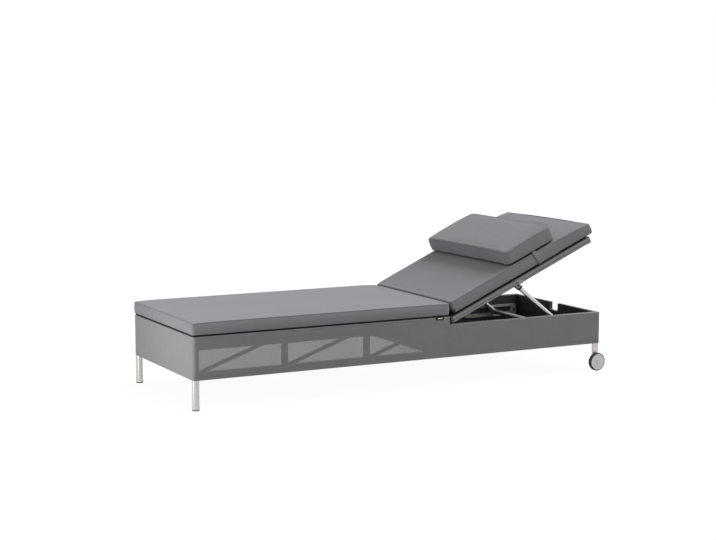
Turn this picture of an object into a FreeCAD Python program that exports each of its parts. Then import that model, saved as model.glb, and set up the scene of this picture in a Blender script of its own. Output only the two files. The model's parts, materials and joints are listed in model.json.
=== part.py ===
import FreeCAD, Part
import math
import os
import re
import Sketcher

# Relaxation lounger: a long box frame wrapped in woven mesh on two legs and two wheels,
# with a backrest that hinges over an open well and leans on a stay whose bar rests in two
# slotted racks, and with a seat cushion, a back cushion and a strapped headrest pillow.
#
# Axes: +X runs from the foot end to the head end, +Z is up, and the person's left side is -Y.
# The origin is on the floor under the middle of the whole lounger, wheels included.
# Base pieces are placed along X from the face of the foot end. Backrest pieces are drawn from
# the hinge axis as they lie when the backrest is flat, stay pieces from the stay's pivot along
# its arms, and wheel pieces from the wheel axle.

SIZES = {
    # Whole lounger
    "frame_wide": 700,
    "seat_long": 1200,
    "skirt_low": 125,
    "seat_rim": 303,
    "rim_step": 35,
    "weave_thick": 1.2,
    # Box frame
    "rail_wide": 25,
    "seat_rail_high": 52,
    "lower_rail_high": 30,
    "head_rail_high": 25,
    "tube_wall": 2,
    "post_long": 26,
    "rail_end_gap": 7,
    "bearer_high": 30,
    "brace_wide": 25,
    "brace_thick": 8,
    "brace_run_share": 0.708,
    "brace_toe": 30,
    "sling_thick": 1.5,
    "rim_over_sling": 0.5,
    # Legs at the foot end
    "leg_across": 30,
    "leg_wall": 2,
    "foot_disc_across": 32,
    "foot_disc_high": 9,
    "foot_plug_high": 18,
    "glide_across": 31,
    "glide_high": 4,
    # Open well at the head end
    "lining_thick": 2,
    "lining_under_rim": 2,
    "floor_thick": 3,
    "board_thick": 16,
    "notch_wide": 66,
    "notch_deep": 38,
    "notch_round": 10,
    "head_corner": 7,
    # Wheels at the head end
    "wheel_across": 82,
    "tyre_wide": 18,
    "tyre_bevel": 3,
    "hub_across": 68,
    "hub_wide": 15,
    "hub_boss_across": 24,
    "wheel_play": 1.5,
    "wheel_post_long": 40,
    "wheel_post_solid": 30,
    "axle_across": 10,
    "axle_head_across": 18,
    "axle_head_thick": 2.5,
    # Backrest frame and its hinge
    "back_angle": 23.8,
    "hinge_past_seat": 8,
    "hinge_under_rim": 18,
    "back_start": 3,
    "back_end": 796,
    "back_rail_high": 27,
    "hinge_block_long": 30,
    "base_rail_start": 32,
    "hinge_plate_thick": 4,
    "hinge_plate_high": 24,
    "hinge_pin_across": 8,
    "hinge_pin_head": 14,
    "hinge_pin_head_thick": 2.5,
    # Stay under the backrest, with its brackets
    "pivot_along": 386.5,
    "pivot_drop": 31.4,
    "stay_long": 345.3,
    "bar_under_middle": 4,
    "arm_across": 20,
    "arm_wall": 1.5,
    "arm_in": 46,
    "bar_pin_across": 12,
    "eye_across": 26,
    "eye_thick": 18,
    "eye_lap": 4,
    "fitting_across": 22,
    "fitting_long": 23,
    "bracket_long": 24,
    "bracket_thick": 2,
    "bracket_lip": 14,
    "pivot_pin_across": 8,
    "pivot_pin_head": 12,
    "pivot_pin_head_thick": 2,
    # Racks on the walls of the well
    "rack_thick": 6,
    "rack_under_bar": 25,
    "rack_over_bar": 29,
    "rack_bevel": 5,
    "rack_past_flat": 40,
    "board_past_rack": 8,
    "rack_past_steep": 40,
    "slot_over": 19,
    "slot_under": 1.5,
    "slot_past_bar": 9,
    "catch_deep": 5,
    "steep_stay_angle": 58,
    "low_catch_angle": 12,
    "rack_bolt_across": 6,
    "rack_bolt_head": 10,
    "rack_bolt_head_thick": 4,
    "rack_bolt_in": 16,
    # Keepers for the seat cushion's strap
    "keeper_long": 51,
    "keeper_high": 7,
    "keeper_thick": 2,
    "keeper_under_rim": 10,
    "keeper_from_split": 50,
    # Cushions
    "cushion_thick": 50,
    "cushion_crown": 6,
    "cushion_in": 2,
    "cushion_edge": 6,
    "cushion_corner": 24,
    "back_cushion_start": 33,
    "back_cushion_end": 820,
    "back_cushion_in": 5,
    "pillow_start": 362,
    "pillow_end": 632,
    "pillow_in": 6,
    "pillow_thick": 57,
    "pillow_crown": 9,
    "pillow_belly": 11,
    "pillow_edge": 16,
    "pillow_corner": 34,
    "band_start": 514,
    "band_wide": 115,
    "band_thick": 2,
    # Clearances
    "soft_gap": 0.3,
    "run_gap": 0.05,
    "side_gap": 1.2,
}

BAYS = 3
CORNER_SHARES = (0, 0.1, 0.42, 1)
END_CROWN_SHARE = 0.25
HANDS = (("left", -1), ("right", 1))
AXIS_Y = FreeCAD.Vector(0, 1, 0)

doc = FreeCAD.newDocument("lounger")
sheet = doc.addObject("Spreadsheet::Sheet", "size")
for row, (alias, number) in enumerate(SIZES.items(), start=1):
    sheet.set(f"A{row}", alias)
    sheet.set(f"B{row}", str(number))
    sheet.setAlias(f"B{row}", alias)
doc.recompute()
nodes = {}


# Formulas are written with the sheet's own names. These helpers read, bind and combine them.

def formula(text):
    """The formula with every sheet name turned into a reference to the sheet."""
    return re.sub(r"[a-z_]+", lambda word: "size." + word[0] if word[0] in SIZES else word[0], text)


def value(text):
    """What the formula comes to now, as a plain number."""
    result = sheet.evalExpression(formula(text))
    return float(getattr(result, "Value", result))


def bind(item, path, text):
    item.setExpression(path, formula(text))


def side_span(sign, inner, outer):
    """The low and high Y of a piece that lies between two distances from the middle."""
    return (inner, outer) if sign > 0 else (f"-({outer})", f"-({inner})")


# Places that several pieces share, in millimetres from the foot end, the middle and the floor.

OUTSIDE = "(frame_wide / 2)"
RAIL_OUT = "(frame_wide / 2 - weave_thick)"
RAIL_IN = "(frame_wide / 2 - weave_thick - rail_wide)"
RAIL_TOP = "(seat_rim - rim_over_sling - sling_thick)"
HEAD_RIM = "(seat_rim - rim_step)"
SEAT_RAIL_LOW = f"({RAIL_TOP} - seat_rail_high)"
LOWER_TOP = "(skirt_low + lower_rail_high)"
LEG_X = "(weave_thick + leg_across / 2)"
LEG_Y = f"({RAIL_OUT} - leg_across / 2)"
HINGE_RAIL_END = "(seat_long - rail_end_gap)"
HINGE_RAIL_START = f"({HINGE_RAIL_END} - post_long)"
BRACE_RUN = f"(({HINGE_RAIL_START} - {LEG_X}) / {BAYS} * brace_run_share)"
BRACE_RISE = f"atan(({SEAT_RAIL_LOW} - {LOWER_TOP}) / {BRACE_RUN})"
LINING_IN = f"({RAIL_IN} - lining_thick)"
LINING_TOP = f"({HEAD_RIM} - lining_under_rim)"
FLOOR_TOP = "(skirt_low + lining_thick + floor_thick)"
BAR_HIGH = f"(({FLOOR_TOP} + {HEAD_RIM}) / 2 - bar_under_middle)"
RACK_LOW, RACK_HIGH = f"({BAR_HIGH} - rack_under_bar)", f"({BAR_HIGH} + rack_over_bar)"
RACK_IN = f"({LINING_IN} - rack_thick)"
BAR_PIN_END = f"({LINING_IN} - side_gap)"
ARM_OUT = "(frame_wide / 2 - arm_in + arm_across / 2)"
ARM_IN = "(frame_wide / 2 - arm_in - arm_across / 2)"
ARM_Y = "(frame_wide / 2 - arm_in)"
HINGE_X = "(seat_long + hinge_past_seat)"
HINGE_HIGH = "(seat_rim - hinge_under_rim)"
HINGE_PLATE_OUT = f"({OUTSIDE} - rail_wide - side_gap)"
HINGE_PLATE_IN = f"({HINGE_PLATE_OUT} - hinge_plate_thick)"
BACK_IN = f"({OUTSIDE} - rail_wide)"
HALF_HIGH = "(back_rail_high / 2)"
SLING_TOP = f"({HALF_HIGH} + sling_thick)"
BACK_CUSHION_LOW = f"({SLING_TOP} + band_thick + soft_gap + soft_gap)"
BACK_CUSHION_TOP = f"({BACK_CUSHION_LOW} + cushion_thick + cushion_crown)"
PILLOW_LOW = f"({BACK_CUSHION_TOP} + band_thick + soft_gap + soft_gap)"


def pivot_at(angle):
    """X and Z of the stay's pivot when the backrest stands at the angle."""
    x = f"({HINGE_X} + pivot_along * cos({angle}) + pivot_drop * sin({angle}))"
    z = f"({HINGE_HIGH} + pivot_along * sin({angle}) - pivot_drop * cos({angle}))"
    return x, z


def bar_at(angle):
    """X of the stay's bar in its racks when the backrest stands at the angle."""
    x, z = pivot_at(angle)
    return f"({x} + sqrt(stay_long ^ 2 - ({z} - {BAR_HIGH}) ^ 2))"


PIVOT_X, PIVOT_Z = pivot_at("back_angle")
STAY_SLOPE = f"asin(({PIVOT_Z} - {BAR_HIGH}) / stay_long)"
STEEP_PIVOT_RISE = f"({BAR_HIGH} + stay_long * sin(steep_stay_angle) - {HINGE_HIGH})"
STEEP_ANGLE = (f"(asin({STEEP_PIVOT_RISE} / sqrt(pivot_along ^ 2 + pivot_drop ^ 2))"
               " + atan(pivot_drop / pivot_along))")
BAR_STEEP, BAR_FLAT = bar_at(STEEP_ANGLE), bar_at("0")
BOARD_START = f"({BAR_FLAT} + rack_past_flat + board_past_rack)"
FRAME_END = f"({BOARD_START} + board_thick)"
FRAME_LONG = f"({FRAME_END} + weave_thick)"
WHEEL_POST_START = f"({FRAME_END} - wheel_post_long)"
WHEEL_X = f"({FRAME_END} - wheel_post_long / 2)"
MIDDLE_X = f"(({WHEEL_X} + wheel_across / 2) / 2)"

# Where each group of pieces stands: X, Z and the turn about Y that lowers the head end.

BASE = (f"-{MIDDLE_X}", "0", "0")
BACK = (f"{HINGE_X} - {MIDDLE_X}", HINGE_HIGH, "-back_angle")
STAY = (f"{PIVOT_X} - {MIDDLE_X}", PIVOT_Z, STAY_SLOPE)
WHEEL = (f"{WHEEL_X} - {MIDDLE_X}", "wheel_across / 2", "0")


def place(item, group):
    x, z, turn = group
    item.Placement = FreeCAD.Placement(FreeCAD.Vector(), FreeCAD.Rotation(AXIS_Y, 1))
    bind(item, "Placement.Base.x", x)
    bind(item, "Placement.Base.z", z)
    bind(item, "Placement.Rotation.Angle", turn)


# Outlines for sketches. Every point is pinned to the sketch's origin by its formula.

def pin(sketch, geometry, point, x, y):
    for kind, text in (("DistanceX", x), ("DistanceY", y)):
        constraint = Sketcher.Constraint(kind, -1, 1, geometry, point, value(text))
        name = f"{kind}_{sketch.addConstraint(constraint)}"
        sketch.renameConstraint(sketch.ConstraintCount - 1, name)
        bind(sketch, f"Constraints.{name}", text)


def polygon(*points):
    """A closed outline; a point with a third entry ends an arc of that radius, signed for its side."""
    def draw(sketch):
        first = sketch.GeometryCount
        vectors = [FreeCAD.Vector(value(point[0]), value(point[1])) for point in points]
        for index, point in enumerate(points):
            start, end = vectors[index - 1], vectors[index]
            if len(point) == 2:
                sketch.addGeometry(Part.LineSegment(start, end))
            else:
                sketch.addGeometry(arc_between(start, end, value(point[2])))
        for index, point in enumerate(points):
            end = end_of(sketch, first + index, vectors[index])
            following = first + (index + 1) % len(points)
            start = 3 - end_of(sketch, following, vectors[(index + 1) % len(points)])
            sketch.addConstraint(Sketcher.Constraint("Coincident", first + index, end, following, start))
            pin(sketch, first + index, end, point[0], point[1])
            if len(point) > 2:
                constraint = Sketcher.Constraint("Radius", first + index, abs(value(point[2])))
                name = f"Radius_{sketch.addConstraint(constraint)}"
                sketch.renameConstraint(sketch.ConstraintCount - 1, name)
                bind(sketch, f"Constraints.{name}", f"abs({point[2]})")
    return draw


def arc_between(start, end, radius):
    """The short arc between two points; a positive radius bulges to the right of the way."""
    way = end - start
    half = way.Length / 2
    across = FreeCAD.Vector(way.y, -way.x).normalize()
    rise = abs(radius) - math.sqrt(max(radius * radius - half * half, 0))
    middle = start + way / 2 + across * math.copysign(rise, radius)
    return Part.Arc(start, middle, end) if radius > 0 else Part.Arc(end, middle, start)


def end_of(sketch, geometry, vector):
    """1 or 2: which end of a sketch's line or arc lies at the vector."""
    curve = sketch.Geometry[geometry]
    return 1 if curve.StartPoint.distanceToPoint(vector) < curve.EndPoint.distanceToPoint(vector) else 2


def rectangle(x_low, y_low, x_high, y_high):
    return polygon((x_low, y_low), (x_high, y_low), (x_high, y_high), (x_low, y_high))


def tube_section(x_low, y_low, x_high, y_high, wall="tube_wall"):
    """A hollow rectangle, as two outlines."""
    inside = (f"{x_low} + {wall}", f"{y_low} + {wall}", f"{x_high} - {wall}", f"{y_high} - {wall}")
    outer, inner = rectangle(x_low, y_low, x_high, y_high), rectangle(*inside)

    def draw(sketch):
        outer(sketch)
        inner(sketch)
    return draw


def circle(x, y, across):
    def draw(sketch):
        middle = FreeCAD.Vector(value(x), value(y))
        normal = FreeCAD.Vector(0, 0, 1)
        index = sketch.addGeometry(Part.Circle(middle, normal, value(across) / 2))
        pin(sketch, index, 3, x, y)
        name = f"Diameter_{sketch.addConstraint(Sketcher.Constraint('Diameter', index, value(across)))}"
        sketch.renameConstraint(sketch.ConstraintCount - 1, name)
        bind(sketch, f"Constraints.{name}", across)
    return draw


def hexagon(x, y, across):
    """A regular hexagon with two level sides; across is its width over flats."""
    flat, corner = f"({across}) / 2", f"({across}) / 2 / cos(30)"
    return polygon((f"{x} + {corner}", y), (f"{x} + {corner} / 2", f"{y} + {flat}"),
                   (f"{x} - {corner} / 2", f"{y} + {flat}"), (f"{x} - {corner}", y),
                   (f"{x} - {corner} / 2", f"{y} - {flat}"), (f"{x} + {corner} / 2", f"{y} - {flat}"))


# Features. The plane is XY, XZ or YZ, and low and high are the span along its normal axis.

def sketch_on(body, plane, offsets, *draws):
    sketch = body.newObject("Sketcher::SketchObject", "outline")
    role = f"{plane}_Plane"
    origin_plane = next(item for item in body.Origin.OriginFeatures if item.Role == role)
    sketch.AttachmentSupport = [(origin_plane, "")]
    sketch.MapMode = "FlatFace"
    for axis, text in zip("xyz", offsets):
        bind(sketch, f"AttachmentOffset.Base.{axis}", text)
    for draw in draws:
        draw(sketch)
    return sketch


def new_body(label, group):
    body = doc.addObject("PartDesign::Body", "body")
    body.Label = label
    place(body, group)
    return body


def pad(body, plane, low, high, *draws):
    start = f"-({high})" if plane == "XZ" else low
    feature = body.newObject("PartDesign::Pad", "pad")
    feature.Profile = sketch_on(body, plane, ("0", "0", start), *draws)
    bind(feature, "Length", f"{high} - ({low})")
    return body


def pocket(body, plane, low, high, *draws):
    """Cuts between low and high, from the side that the pocket's own direction leaves."""
    start = f"-({low})" if plane == "XZ" else high
    feature = body.newObject("PartDesign::Pocket", "pocket")
    feature.Profile = sketch_on(body, plane, ("0", "0", start), *draws)
    bind(feature, "Length", f"{high} - ({low})")
    return body


def prism(label, group, plane, low, high, *draws):
    return pad(new_body(label, group), plane, low, high, *draws)


def turned(label, group, x, z, *points):
    """A piece turned about a line along Y, from points given as radius and Y."""
    body = new_body(label, group)
    feature = body.newObject("PartDesign::Revolution", "turning")
    sketch = sketch_on(body, "XY", (x, "0", z), polygon(*points))
    feature.Profile = sketch
    feature.ReferenceAxis = (sketch, ["V_Axis"])
    return body


def keep(label, item):
    item.Label = label
    nodes[label] = item
    return item


def several(label, *items):
    """One node of separate solids."""
    group = doc.addObject("Part::Compound", "group")
    group.Links = list(items)
    return keep(label, group)


def pair(label, item):
    """One node of a piece on the left and its mirror image on the right."""
    image = doc.addObject("Part::Mirroring", "mirrored")
    image.Source = item
    image.Normal = AXIS_Y
    return several(label, item, image)


# Box frame

def cope(body, sign):
    """Hollows a rail's end to fit round the leg."""
    pocket(body, "XY", "0", "seat_rim", circle(LEG_X, f"{sign} * {LEG_Y}", "leg_across"))


def trim_to_corner(body, low, high):
    """Rounds a left-hand piece off where the skirt turns the corner at the head end."""
    start, turn = f"({FRAME_LONG} - head_corner)", f"({OUTSIDE} - head_corner)"
    inner = "(head_corner - weave_thick)"
    pocket(body, "XY", low, high, polygon(
        (FRAME_END, f"-{RAIL_OUT}"), (FRAME_END, f"-{turn}"), (start, f"-{RAIL_OUT}", f"-{inner}")))
    return body


def side_rails():
    for hand, sign in HANDS:
        low, high = side_span(sign, RAIL_IN, RAIL_OUT)
        seat = prism(f"seat_rail_{hand}", BASE, "YZ", LEG_X, HINGE_RAIL_START,
                     tube_section(low, SEAT_RAIL_LOW, high, RAIL_TOP))
        lower = prism(f"lower_rail_{hand}", BASE, "YZ", LEG_X, WHEEL_POST_START,
                      tube_section(low, "skirt_low", high, LOWER_TOP))
        for rail in (seat, lower):
            cope(rail, sign)
            keep(rail.Label, rail)
    low, high = f"({HEAD_RIM} - head_rail_high)", HEAD_RIM
    head_rail = prism("head_rail", BASE, "YZ", HINGE_RAIL_END, FRAME_END,
                      tube_section(f"-{RAIL_OUT}", low, f"-{RAIL_IN}", high))
    pair("head_rails", trim_to_corner(head_rail, low, high))


def foot_rails():
    x_high = "weave_thick + rail_wide"
    for name, low, high in (("foot_top_rail", SEAT_RAIL_LOW, RAIL_TOP),
                            ("foot_lower_rail", "skirt_low", LOWER_TOP)):
        rail = prism(name, BASE, "XZ", f"-{LEG_Y}", LEG_Y,
                     tube_section("weave_thick", low, x_high, high))
        for hand, sign in HANDS:
            cope(rail, sign)
        keep(name, rail)


def cross_rails():
    keep("hinge_rail", prism("hinge_rail", BASE, "XZ", f"-{RAIL_OUT}", RAIL_OUT,
                             tube_section(HINGE_RAIL_START, SEAT_RAIL_LOW, HINGE_RAIL_END, RAIL_TOP)))
    keep("middle_lower_rail", prism("middle_lower_rail", BASE, "XZ", f"-{RAIL_IN}", RAIL_IN,
                                    tube_section(HINGE_RAIL_START, "skirt_low", HINGE_RAIL_END, LOWER_TOP)))
    start = "(seat_long / 2 - bearer_high / 2)"
    keep("seat_bearer", prism("seat_bearer", BASE, "XZ", f"-{RAIL_IN}", RAIL_IN,
                              tube_section(start, f"{RAIL_TOP} - bearer_high",
                                           f"{start} + bearer_high", RAIL_TOP)))


def post_start(index):
    """X of a truss post's foot-end face; the last post stands under the hinge rail."""
    return f"({LEG_X} + ({HINGE_RAIL_START} - {LEG_X}) * {index} / {BAYS})"


def truss():
    for hand, sign in HANDS:
        low, high = side_span(sign, RAIL_IN, RAIL_OUT)
        brace_low, brace_high = side_span(sign, f"({RAIL_OUT} - brace_thick)", RAIL_OUT)
        for bay in range(1, BAYS + 1):
            start = post_start(bay)
            if bay < BAYS:
                post = prism(f"post_{bay}_{hand}", BASE, "XY", LOWER_TOP, SEAT_RAIL_LOW,
                             tube_section(start, low, f"{start} + post_long", high))
                keep(post.Label, post)
            left = f"({post_start(bay - 1)} + {'post_long' if bay > 1 else 'leg_across / 2'})"
            toe = f"({left} + brace_toe)"
            lip = f"({toe} + {BRACE_RUN})"
            heel = f"({lip} - brace_wide / sin({BRACE_RISE}))"
            shoulder = f"({SEAT_RAIL_LOW} - ({heel} - {left}) * tan({BRACE_RISE}))"
            brace = prism(f"brace_{bay}_{hand}", BASE, "XZ", brace_low, brace_high,
                          polygon((left, LOWER_TOP), (toe, LOWER_TOP), (lip, SEAT_RAIL_LOW),
                                  (heel, SEAT_RAIL_LOW), (left, shoulder)))
            keep(brace.Label, brace)
    pair("hinge_posts", prism("hinge_post", BASE, "XY", LOWER_TOP, SEAT_RAIL_LOW,
                              tube_section(HINGE_RAIL_START, f"-{RAIL_OUT}", HINGE_RAIL_END, f"-{RAIL_IN}")))


def legs():
    for hand, sign in HANDS:
        y = f"{sign} * {LEG_Y}"
        leg = prism(f"leg_{hand}", BASE, "XY", "glide_high + foot_disc_high", RAIL_TOP,
                    circle(LEG_X, y, "leg_across"), circle(LEG_X, y, "leg_across - leg_wall - leg_wall"))
        keep(leg.Label, leg)
    top = "(glide_high + foot_disc_high)"
    disc = prism("foot_disc", BASE, "XY", "glide_high", top, circle(LEG_X, f"-{LEG_Y}", "foot_disc_across"))
    pad(disc, "XY", top, f"({top} + foot_plug_high)",
        hexagon(LEG_X, f"-{LEG_Y}", "(leg_across - leg_wall - leg_wall) * cos(30)"))
    pair("levelling_feet", disc)
    pair("glide_pads", prism("glide_pad", BASE, "XY", "0", "glide_high",
                             circle(LEG_X, f"-{LEG_Y}", "glide_across")))


# Woven skirt and seat sling

def skirts():
    for hand, sign in HANDS:
        low, high = side_span(sign, RAIL_OUT, OUTSIDE)
        end = f"({FRAME_LONG} - head_corner)"
        skirt = prism(f"side_skirt_{hand}", BASE, "XZ", low, high,
                      polygon((LEG_X, "skirt_low"), (end, "skirt_low"), (end, HEAD_RIM),
                              ("seat_long", HEAD_RIM), ("seat_long", "seat_rim"), (LEG_X, "seat_rim")))
        keep(skirt.Label, skirt)
    corner = f"{LEG_X}"
    inner = f"({LEG_X} - weave_thick)"
    keep("foot_skirt", prism("foot_skirt", BASE, "XY", "skirt_low", "seat_rim", polygon(
        (corner, f"-{OUTSIDE}", corner), (corner, f"-{RAIL_OUT}"),
        ("weave_thick", f"-{LEG_Y}", f"-{inner}"), ("weave_thick", LEG_Y),
        (corner, RAIL_OUT, f"-{inner}"), (corner, OUTSIDE), ("0", LEG_Y, corner), ("0", f"-{LEG_Y}"))))
    start = f"({FRAME_LONG} - head_corner)"
    turn = f"({OUTSIDE} - head_corner)"
    inner = "(head_corner - weave_thick)"
    skirt = prism("head_skirt", BASE, "XY", "skirt_low", HEAD_RIM, polygon(
        (start, f"-{OUTSIDE}"), (FRAME_LONG, f"-{turn}", "head_corner"), (FRAME_LONG, turn),
        (start, OUTSIDE, "head_corner"), (start, RAIL_OUT), (FRAME_END, turn, f"-{inner}"),
        (FRAME_END, f"-{turn}"), (start, f"-{RAIL_OUT}", f"-{inner}")))
    pocket(skirt, "YZ", BOARD_START, FRAME_LONG, notch())
    keep("head_skirt", skirt)


def notch():
    """The hand notch in the rim at the head end, open at the top."""
    half = "(notch_wide / 2)"
    bottom = f"({HEAD_RIM} - notch_deep)"
    return polygon((f"-{half}", "seat_rim"), (f"-{half}", f"{bottom} + notch_round"),
                   (f"-{half} + notch_round", bottom, "notch_round"), (f"{half} - notch_round", bottom),
                   (half, f"{bottom} + notch_round", "notch_round"), (half, "seat_rim"))


def slings():
    turn = "(leg_across / 2)"
    keep("seat_sling", prism("seat_sling", BASE, "XY", RAIL_TOP, f"{RAIL_TOP} + sling_thick", polygon(
        (HINGE_RAIL_END, f"-{RAIL_OUT}"), (HINGE_RAIL_END, RAIL_OUT), (LEG_X, RAIL_OUT),
        ("weave_thick", LEG_Y, turn), ("weave_thick", f"-{LEG_Y}"), (LEG_X, f"-{RAIL_OUT}", turn))))
    keep("back_sling", prism("back_sling", BACK, "XY", HALF_HIGH, SLING_TOP,
                             rectangle("back_start", f"-{OUTSIDE}", "back_end", OUTSIDE)))


# Well at the head end

def well():
    board = prism("head_end_board", BASE, "YZ", BOARD_START, FRAME_END,
                  rectangle(f"-{RAIL_IN}", "skirt_low", RAIL_IN, HEAD_RIM))
    pocket(board, "YZ", BOARD_START, FRAME_LONG, notch())
    keep("head_end_board", board)
    floor_low = f"({FLOOR_TOP} - floor_thick)"
    panels = [prism("well_floor", BASE, "XY", floor_low, FLOOR_TOP,
                    rectangle(HINGE_RAIL_END, f"-{RAIL_IN}", BOARD_START, RAIL_IN)),
              prism("well_front", BASE, "YZ", HINGE_RAIL_END, f"{HINGE_RAIL_END} + lining_thick",
                    rectangle(f"-{RAIL_IN}", FLOOR_TOP, RAIL_IN, LINING_TOP))]
    for hand, sign in HANDS:
        low, high = side_span(sign, LINING_IN, RAIL_IN)
        panels.append(prism(f"well_side_{hand}", BASE, "XZ", low, high, rectangle(
            f"{HINGE_RAIL_END} + lining_thick", FLOOR_TOP, BOARD_START, LINING_TOP)))
    several("well_lining", *panels)


def racks():
    """Slotted plates that catch the stay's bar; the catches follow from the stay's own geometry."""
    pin_radius = "(bar_pin_across / 2)"
    start, end = f"({BAR_STEEP} - rack_past_steep)", f"({BAR_FLAT} + rack_past_flat)"
    low, high = side_span(-1, RACK_IN, LINING_IN)
    plate = prism("rack", BASE, "XZ", low, high, polygon(
        (f"{start} + rack_bevel", RACK_LOW), (f"{end} - rack_bevel", RACK_LOW),
        (end, f"{RACK_LOW} + rack_bevel"), (end, f"{RACK_HIGH} - rack_bevel"),
        (f"{end} - rack_bevel", RACK_HIGH), (f"{start} + rack_bevel", RACK_HIGH),
        (start, f"{RACK_HIGH} - rack_bevel"), (start, f"{RACK_LOW} + rack_bevel")))
    floor = f"({BAR_HIGH} - {pin_radius} - slot_under)"
    pocket(plate, "XZ", low, high, rectangle(
        f"{BAR_STEEP} - slot_past_bar", floor, f"{BAR_FLAT} + slot_past_bar", f"{BAR_HIGH} + slot_over"))
    for angle in ("low_catch_angle", "back_angle", STEEP_ANGLE):
        middle = bar_at(angle)
        pocket(plate, "XZ", low, high, polygon(
            (f"{middle} - {pin_radius}", BAR_HIGH), (f"{middle} - {pin_radius}", floor),
            (middle, f"{floor} - catch_deep"), (f"{middle} + {pin_radius}", floor),
            (f"{middle} + {pin_radius}", BAR_HIGH)))
    bolt_z = f"(({RACK_LOW} + {RACK_HIGH}) / 2)"
    bolts = []
    for x in (f"({start} + rack_bolt_in)", f"({end} - rack_bolt_in)"):
        pocket(plate, "XZ", low, high, circle(x, bolt_z, "rack_bolt_across + run_gap + run_gap"))
        bolts.append(rack_bolt(x, bolt_z, low, high))
    pair("rack_plates", plate)
    both = doc.addObject("Part::Compound", "left_bolts")
    both.Links = bolts
    pair("rack_bolts", both)


def rack_bolt(x, z, low, high):
    """A hexagon-headed bolt through a rack, with its head inside the well."""
    bolt = prism("rack_bolt", BASE, "XZ", high, f"({high} + rack_bolt_head_thick)",
                 hexagon(x, z, "rack_bolt_head"))
    return pad(bolt, "XZ", low, high, circle(x, z, "rack_bolt_across"))


def keepers():
    """Slim metal loops under the rim that hold the cushion's strap ends."""
    end = "(seat_long - keeper_from_split)"
    high = "(seat_rim - keeper_under_rim)"
    low = f"({high} - keeper_high)"
    bevel = "(keeper_high / 3)"
    outline = polygon((f"{end} - keeper_long / 2 + {bevel}", low),
                      (f"{end} + keeper_long / 2 - {bevel}", low),
                      (f"{end} + keeper_long / 2", f"{low} + {bevel}"),
                      (f"{end} + keeper_long / 2", f"{high} - {bevel}"),
                      (f"{end} + keeper_long / 2 - {bevel}", high),
                      (f"{end} - keeper_long / 2 + {bevel}", high),
                      (f"{end} - keeper_long / 2", f"{high} - {bevel}"),
                      (f"{end} - keeper_long / 2", f"{low} + {bevel}"))
    pair("strap_keepers", prism("keeper", BASE, "XZ", f"-({OUTSIDE} + keeper_thick)", f"-{OUTSIDE}", outline))


# Wheels at the head end

def wheels():
    radius = "(wheel_across / 2)"
    post_low = f"({radius} - wheel_post_long / 2)"
    low, high = side_span(-1, RAIL_IN, RAIL_OUT)
    half = "(wheel_post_long / 2)"
    post = prism("wheel_post", BASE, "XZ", low, high, polygon(
        (WHEEL_POST_START, f"{HEAD_RIM} - head_rail_high"), (WHEEL_POST_START, radius),
        (WHEEL_X, post_low, half), (FRAME_END, radius, half), (FRAME_END, f"{HEAD_RIM} - head_rail_high")))
    pocket(post, "XY", f"{radius} + wheel_post_solid", f"{HEAD_RIM} - head_rail_high",
           rectangle(f"{WHEEL_POST_START} + tube_wall", f"{low} + tube_wall",
                     f"{FRAME_END} - tube_wall", f"{high} - tube_wall"))
    pocket(post, "XZ", low, high, circle(WHEEL_X, radius, "axle_across + run_gap + run_gap"))
    pair("wheel_posts", trim_to_corner(post, post_low, f"{HEAD_RIM} - head_rail_high"))
    shaft, head = "(axle_across / 2)", "(axle_head_across / 2)"
    outer = f"(-({OUTSIDE} + wheel_play + tyre_wide + side_gap))"
    axle = turned("axle", WHEEL, "0", "0",
                  ("0", f"{outer} - axle_head_thick"), (head, f"{outer} - axle_head_thick"), (head, outer),
                  (shaft, outer), (shaft, f"-{RAIL_IN}"), ("0", f"-{RAIL_IN}"))
    pair("wheel_axles", axle)
    for hand, sign in HANDS:
        wheel(hand, sign)


def wheel(hand, sign):
    """Tyre on a hub, slightly raised to its middle, that turns on its stub axle."""
    inner = f"{sign} * ({OUTSIDE} + wheel_play)"
    outer = f"{sign} * ({OUTSIDE} + wheel_play + tyre_wide)"
    rim, bore = "(hub_across / 2)", "(axle_across / 2 + run_gap)"
    outside = "(wheel_across / 2)"
    tyre = turned(f"tyre_{hand}", WHEEL, "0", "0",
                  (rim, inner), (f"{outside} - tyre_bevel", inner),
                  (outside, f"{inner} + {sign} * tyre_bevel"), (outside, f"{outer} - {sign} * tyre_bevel"),
                  (f"{outside} - tyre_bevel", outer), (rim, outer))
    face = f"{outer} - {sign} * (tyre_wide - hub_wide) / 2"
    boss = "(hub_boss_across / 2)"
    hub = turned(f"hub_{hand}", WHEEL, "0", "0",
                 (bore, inner), (rim, inner), (rim, face), (boss, outer), (bore, outer))
    keep(tyre.Label, tyre)
    keep(hub.Label, hub)


# Backrest frame, hinge and stay brackets

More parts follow.
